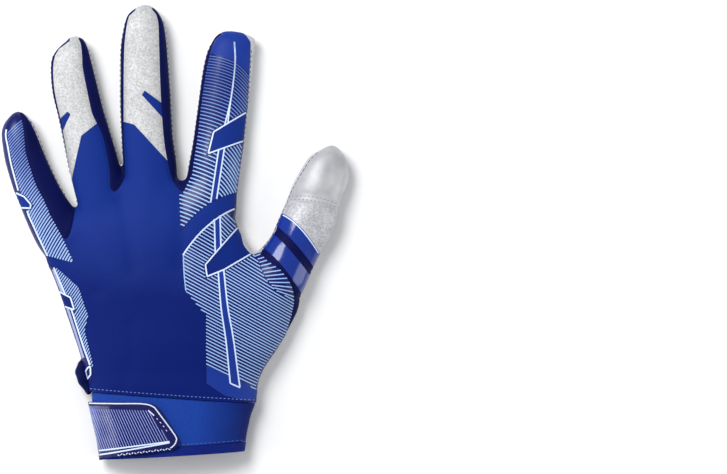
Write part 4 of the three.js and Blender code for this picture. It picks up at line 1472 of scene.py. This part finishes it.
PINKY_AREA = np.vstack([
    on_finger(PINKY, (1.0, -0.3), (0.9, -0.36), (0.8, -0.42), (0.6, -0.49), (0.4, -0.48)), PINKY_EDGE,
    on_hand((-0.6, 0.6), (-0.5, 0.6)), on_finger(PINKY, (0.3, 0.4), (0.7, 0.1), (1.0, 0.2))])
HEEL_EDGE = on_hand(
    (-0.69, 0.605), (-0.637, 0.51), (-0.581, 0.405), (-0.552, 0.335), (-0.516, 0.248), (-0.476, 0.163))
HEEL_BAND = on_hand((-0.695, 0.597), (-0.65, 0.51), (-0.607, 0.414), (-0.562, 0.309), (-0.516, 0.195))
HEEL_AREA = np.vstack([HEEL_EDGE, on_hand((-0.44, 0.13), (-0.3, 0.4), (-0.5, 0.66), (-0.7, 0.64))])
HEEL_KITE = on_hand((-0.503, 0.134), (-0.494, 0.098), (-0.472, 0.12), (-0.474, 0.158), (-0.49, 0.15))


def index_prints():
    """Stripes and lines of the index finger."""
    anchors = long_line(INDEX_SPINE[5:], 28)
    holes = [grown(INDEX_NOTCH, NOTCH_MARGIN), INDEX_CHANNEL, PLAIN_TIP]
    left = np.vstack([long_line(INDEX_SPINE), hand(-0.3, 0.6), on(INDEX, 1.0, -1.0)])
    right = np.vstack([long_line(INDEX_SPINE), hand(0.8, 0.6), on(INDEX, 1.0, 1.0)])
    fine = stripes(anchors, (-25, -31), (-34, 4), (TIP_PITCH, STRIPE_PITCH * 1.15),
                   [INDEX_FILM, left], holes, (0.025, 0.008))
    fine += stripes(anchors, (-35, -44), (-4, 34), (TIP_PITCH * 1.1, STRIPE_PITCH * 1.2),
                    [INDEX_FILM, right], holes, (0.035, 0.035))
    bold = trimmed(spine_lines(INDEX_SPINE, INDEX_GAP), [INDEX_FILM], [INDEX_NOTCH])
    bold += trimmed([closed(INDEX_NOTCH)], [INDEX_FILM])
    return fine, bold


def hand_prints():
    """Stripes and lines round the base of the index finger and the thumb web."""
    whole = np.vstack([WEB_SPINE, HAND_SPINE[4:]])
    left = np.vstack([long_line(whole), on_hand((-0.4, -0.3), (-0.4, 1.1))])
    right = np.vstack([long_line(whole), on_hand((1.3, -0.3), (1.3, 1.1))])
    holes = [grown(WEB_NOTCH, NOTCH_MARGIN), WEB_CHANNEL, HAND_CHANNEL]
    below = np.vstack([hand(0.29, 0.95), long_line(HAND_SPINE, 16)])
    fine = stripes(long_line(whole, 30), (-31, -25), (-40, 2), (STRIPE_PITCH * 1.1, STRIPE_PITCH),
                   [HAND_FILM, left], holes + [PLAIN_CORNER])
    fine += stripes(WEB_SPINE - [0, 1.0], (-44, -50), (-2, 40), (STRIPE_PITCH * 1.2,) * 2,
                    [HAND_FILM, right, ABOVE_FIN], holes)
    fine += stripes(below, (-33, -25), (-2, 60), (STRIPE_PITCH,) * 2, [HAND_FILM, right, BELOW_FIN],
                    holes + [FAN_AREA, PLAIN_CORNER])
    # A fan of short lines runs from a curve to the thumb's sewn line
    starts, ends = resampled(FAN_STARTS, FAN_PITCH), resampled(FAN_ENDS, ANCHOR_STEP)
    for i, start in enumerate(starts):
        end = ends[int(round((len(ends) - 1) * (i / (len(starts) - 1)) ** FAN_SPREAD))]
        fine += clipped([start, end], [HAND_FILM])
    bold = trimmed(spine_lines(WEB_SPINE, WEB_GAP), [HAND_FILM, ABOVE_FIN], [WEB_NOTCH])
    bold += trimmed([closed(HAND_CHANNEL_LINES)], [HAND_FILM, BELOW_FIN], [WEB_NOTCH])
    bold += trimmed([closed(WEB_NOTCH), SWEEP_LOW - [-0.3, 0.5]], [HAND_FILM])
    fine += trimmed([on_hand((0.091, 0.5), (0.08, 0.574), (0.075, 0.66))], [HAND_FILM])
    return fine, bold


def pinky_prints():
    """Stripes and lines of the little finger."""
    anchors = on_finger(PINKY, (0.93, 0.0), (0.3, -0.05), (-0.2, 0.1))
    fine = stripes(anchors, (39, 66), (-30, 30), (SIDE_TIP_PITCH, SIDE_PITCH), [PINKY_FILM, PINKY_AREA],
                   [grown(PINKY_NOTCH, NOTCH_MARGIN)], (0.02, 0.01))
    bold = trimmed([closed(PINKY_NOTCH), PINKY_EDGE, PINKY_HIGH_EDGE], [PINKY_FILM])
    return fine, bold


def heel_prints():
    """Stripes and lines at the heel of the hand."""
    anchors = on_hand((-0.72, 0.68), (-0.4, 0.05))
    fine = stripes(anchors, (52, 60), (-30, 30), (HEEL_PITCH,) * 2, [HEEL_FILM, HEEL_AREA],
                   [grown(HEEL_NOTCH, NOTCH_MARGIN)])
    bold = trimmed([closed(HEEL_NOTCH)], [HEEL_FILM]) + [resampled(closed(HEEL_KITE), FINE_STEP)]
    bold += trimmed([HEEL_EDGE], [HEEL_FILM], [HEEL_NOTCH])
    return fine, bold


INDEX_WIDTH = tapered(115, 172, 1.2 * STRIPE_WIDTH, TIP_WIDTH)
PINKY_WIDTH = tapered(85, 140, 1.3 * STRIPE_WIDTH, 1.1 * TIP_WIDTH)
PRINTS = (
    ("index", index_prints, INDEX_WIDTH, "line"),
    ("hand", hand_prints, STRIPE_WIDTH, "line"),
    ("pinky", pinky_prints, PINKY_WIDTH, "side_line"),
    ("heel", heel_prints, TIP_WIDTH * 1.2, "side_line"),
)
for name, prints, width, look in PRINTS:
    fine_lines, bold_lines = prints()
    draw(film_top, name + "_stripes", fine_lines, width, look, "printed_film", PRINT_LIFT)
    draw(film_top, name + "_lines", bold_lines, LINE_WIDTH, "bright", "printed_film", PRINT_LIFT + BOLD_LIFT)

pale_lines = trimmed([HEEL_BAND], [HEEL_FILM], [grown(HEEL_NOTCH, NOTCH_MARGIN / 2)])
draw(film_top, "heel_band", pale_lines, PALE_BAND_WIDTH, "heel_band", "printed_film",
     PRINT_LIFT + PALE_BAND_LIFT)
band_edge = [resampled(across_thumb("patch", -0.008), LINE_STEP)]
draw(film_top, "band_line", band_edge, THUMB_EDGE_WIDTH, "bright", "glossy_band", PRINT_LIFT)

# Lighter plain areas of the printing
print_out = offset_copy(skin, "print_out", FILM_LIFT + PLAIN_LIFT)
print_in = offset_copy(skin, "print_in", PLAIN_FLOOR)
print_layer = cut(cut(print_out, print_in, "DIFFERENCE"), split, "DIFFERENCE")
remove(print_in)
PLAIN_AREAS = (
    ("plain_corner", PLAIN_CORNER, HAND_FILM, HAND_CHANNEL_LINES),
    ("plain_tip", PLAIN_TIP, INDEX_FILM, INDEX_NOTCH),
    ("hand_channel", HAND_CHANNEL_LINES, HAND_FILM, WEB_NOTCH),
    ("web_channel", channel(WEB_SPINE, WEB_GAP), HAND_FILM, WEB_NOTCH),
    ("index_channel", channel(INDEX_SPINE[20:], INDEX_GAP[20:]), INDEX_FILM, INDEX_NOTCH),
)
for name, outline, film_outline, hole in PLAIN_AREAS:
    spot = panel(print_layer, grown(film_outline, -PLAIN_MARGIN), [grown(hole, PLAIN_MARGIN)])
    dress(cut_along(spot, outline, "INTERSECT"), name, "plain", "printed_film")
remove(print_layer)

# The strap's field of stripes, its two rules, its white piping and its rim
STRAP_STRIPES = on_cuff((-0.49, -0.13), (-0.138, -0.145), (-0.01, -0.65), (-0.369, -0.8), (-0.455, -0.83))
STRAP_RULES = (
    on_cuff((-0.006, -0.668), (-0.369, -0.803), (-0.462, -0.838)),
    on_cuff((-0.004, -0.684), (-0.369, -0.867), (-0.456, -0.908)),
)
STRAP_TOP_SEAM = curve(on_cuff(
    (-0.6, -0.04), (-0.35, -0.04), (-0.17, -0.042), (-0.106, -0.09), (-0.076, -0.18), (0.027, -0.561),
    (0.036, -0.655), (0.02, -0.735), (0.0, -0.775)))
STRAP_LOW_SEAM = on_cuff((0.0, -0.79), (-0.151, -0.838), (-0.331, -0.9))
STRAP_NOSE_SEAM = on_cuff((-0.085, -0.28), (-0.045, -0.4), (-0.01, -0.54))
STRAP_HOOK = on_cuff((-0.136, -0.15), (-0.12, -0.19), (-0.1, -0.235))
strap_fine = stripes(on_cuff((-0.62, -0.5), (0.08, -0.5)), (-73, -59), (-40, 40),
                     (STRAP_END_PITCH, STRAP_PITCH), [STRAP_STRIPES])
strap_bold = [resampled(line, LINE_STEP) for line in STRAP_RULES]
strap_piping = [resampled(STRAP_TOP_SEAM, LINE_STEP), resampled(STRAP_HOOK, FINE_STEP)]
strap_rim = [resampled(strap_outline(RIM_WIDTH / 2), LINE_STEP)]
draw(strap_top, "strap_stripes", strap_fine, STRAP_LINE, "strap_line", "strap_film", PRINT_LIFT)
draw(strap_top, "strap_rules", strap_bold, LINE_WIDTH, "bright", "strap_film", PRINT_LIFT)
draw(strap_top, "strap_piping", strap_piping, PIPING_WIDTH, "piping", "strap_film", PIPING_LIFT, PIPING_LIFT)
draw(strap_top, "strap_rim", strap_rim, RIM_WIDTH, "strap", "strap_film", RIM_LIFT, RIM_LIFT)

# Sewing: each piece with its finish, its slot and its rows of stitches
cuff_top = Draper(bpy.data.objects["cuff_detail"])
SEWING = (
    ("wrist_stitches", "thread", "cuff_fabric", [(film_top, SEAM_LINE + [0, WRIST_STITCH_RISE], "wrist")]),
    ("strap_stitches", "piping", "strap_film", [
        (strap_top, zigzag(STRAP_LOW_SEAM, ZIGZAG_STEP, ZIGZAG_REACH), "strap"),
        (strap_top, STRAP_NOSE_SEAM, "nose")]),
    ("hem_stitches", "hem_thread", "cuff_fabric", [(cuff_top, HEM_TOP + [0, HEM_STITCH_RISE], "hem")]),
    ("thumb_stitches", "grey_thread", "palm_leather", [
        (film_top, across_thumb("cap", shift), "cap") for shift in CAP_STITCH_SHIFTS]),
)
for name, look, slot, rows in SEWING:
    parts = []
    for draper, line, kind in rows:
        parts += stitches(draper, line, **STITCHES[kind])
    dress(joined(name, parts), name, look, slot)


def edge_stitches(draper, finger, side, start, filled):
    """Stitches along the palm skin's edge, found from a finger's side. filled: share of stitch to pitch."""
    across = axis_of(finger)[2] * side
    name = "right" if side > 0 else "left"
    count = int((EDGE_STITCHES_END - start) * finger["length"] / EDGE_STITCH_PITCH)
    parts = []
    for i in range(count):
        ends = []
        for share in (0.0, filled):
            t = start + (EDGE_STITCHES_END - start) * (i + share) / count
            place = on(finger, t, column(finger["rows"], FINGER_COLUMNS, name, t) * side)
            height = split_height(place[None, :] - across * EDGE_STITCH_PROBE)[0] - EDGE_STITCH_DROP
            ends.append(draper.look(place + across * EDGE_STITCH_VIEW, -across, height))
        a, b = ends
        if a is None or b is None or np.linalg.norm(a[0] - b[0]) > LONGEST_EDGE_STITCH:
            continue
        parts.append(capsule(a[0], b[0], (a[1] + b[1]) / 2, EDGE_STITCH_RADIUS))
    return parts


# The edge's rows of stitches: surface, finger, side, where they start along it, and how filled they are
palm_sides = Draper(bpy.data.objects["palm_panel_detail"])
thumb_sides = Draper(bpy.data.objects["thumb_palm_detail"])
edge_rows = [(palm_sides, finger, side, 0.3, 0.6) for finger in FINGERS[:4] for side in (1, -1)]
edge_rows += [(thumb_sides, THUMB, 1, 0.1, 0.6), (thumb_sides, THUMB, -1, 0.3, 0.95)]
edge_thread = []
for row in edge_rows:
    edge_thread += edge_stitches(*row)
dress(joined("edge_thread", edge_thread), "edge_stitches", "dark_thread", "palm_leather")

# Soft lights: place, point aimed at, width and height, in metres, and power
LIGHTS = {
    "key": ((-0.5, 0.6, 1.1), (0, 0, 0), (0.65, 0.65), 16),
    "left_box": ((-0.9, -0.1, 0.25), (0, 0, 0.01), (0.3, 0.9), 4),
    "right_box": ((0.9, -0.2, 0.3), (0, 0, 0.01), (0.3, 0.9), 3),
}
SKY = (0.95, 0.97, 1.0, 1)
SKY_STRENGTH = 0.42
FLOOR_SIZE = 6


def area_light(name, place, target, size, power):
    """A soft light aimed at a point."""
    data = bpy.data.lights.new(name, "AREA")
    data.shape = "RECTANGLE"
    data.size, data.size_y = size
    data.energy = power
    made = bpy.data.objects.new(name, data)
    made.location = place
    made.rotation_euler = (Vector(target) - Vector(place)).to_track_quat("-Z", "Y").to_euler()
    bpy.context.scene.collection.objects.link(made)


def make_stage():
    """A white floor, a pale sky and soft light from the upper left."""
    bpy.ops.mesh.primitive_plane_add(size=FLOOR_SIZE, location=(0, 0, 0))
    floor = bpy.context.object
    floor.name = "floor"
    white = Look("floor_white", "#f4f4f4", 0.9)
    white.shader.inputs["Specular IOR Level"].default_value = 0.1
    floor.data.materials.append(white.material)
    world = bpy.data.worlds.new("studio")
    world.use_nodes = True
    world.node_tree.nodes["Background"].inputs["Color"].default_value = SKY
    world.node_tree.nodes["Background"].inputs["Strength"].default_value = SKY_STRENGTH
    bpy.context.scene.world = world
    for name, values in LIGHTS.items():
        area_light(name, *values)
    bpy.context.scene.view_settings.view_transform = "Standard"


# The camera looks straight down at the middle of the picture, with the glove in its left half
IMAGE_WIDTH = 727
MM_PER_PIXEL = 0.52
PICTURE_MIDDLE = np.array([99.6, 84.8, 0.0])
CAMERA_HEIGHT = 3.0
SENSOR = 36


def make_camera():
    """A long lens high above the floor."""
    data = bpy.data.cameras.new("camera")
    data.sensor_width = SENSOR
    data.lens = SENSOR * CAMERA_HEIGHT / (IMAGE_WIDTH * MM_PER_PIXEL * MM)
    made = bpy.data.objects.new("camera", data)
    place = (PICTURE_MIDDLE + CUFF_SEAM_MIDDLE) * MM
    made.location = (place[0], place[1], CAMERA_HEIGHT)
    bpy.context.scene.collection.objects.link(made)
    bpy.context.scene.camera = made


make_stage()
make_camera()
remove(skin, split, hand_area, film_layer)
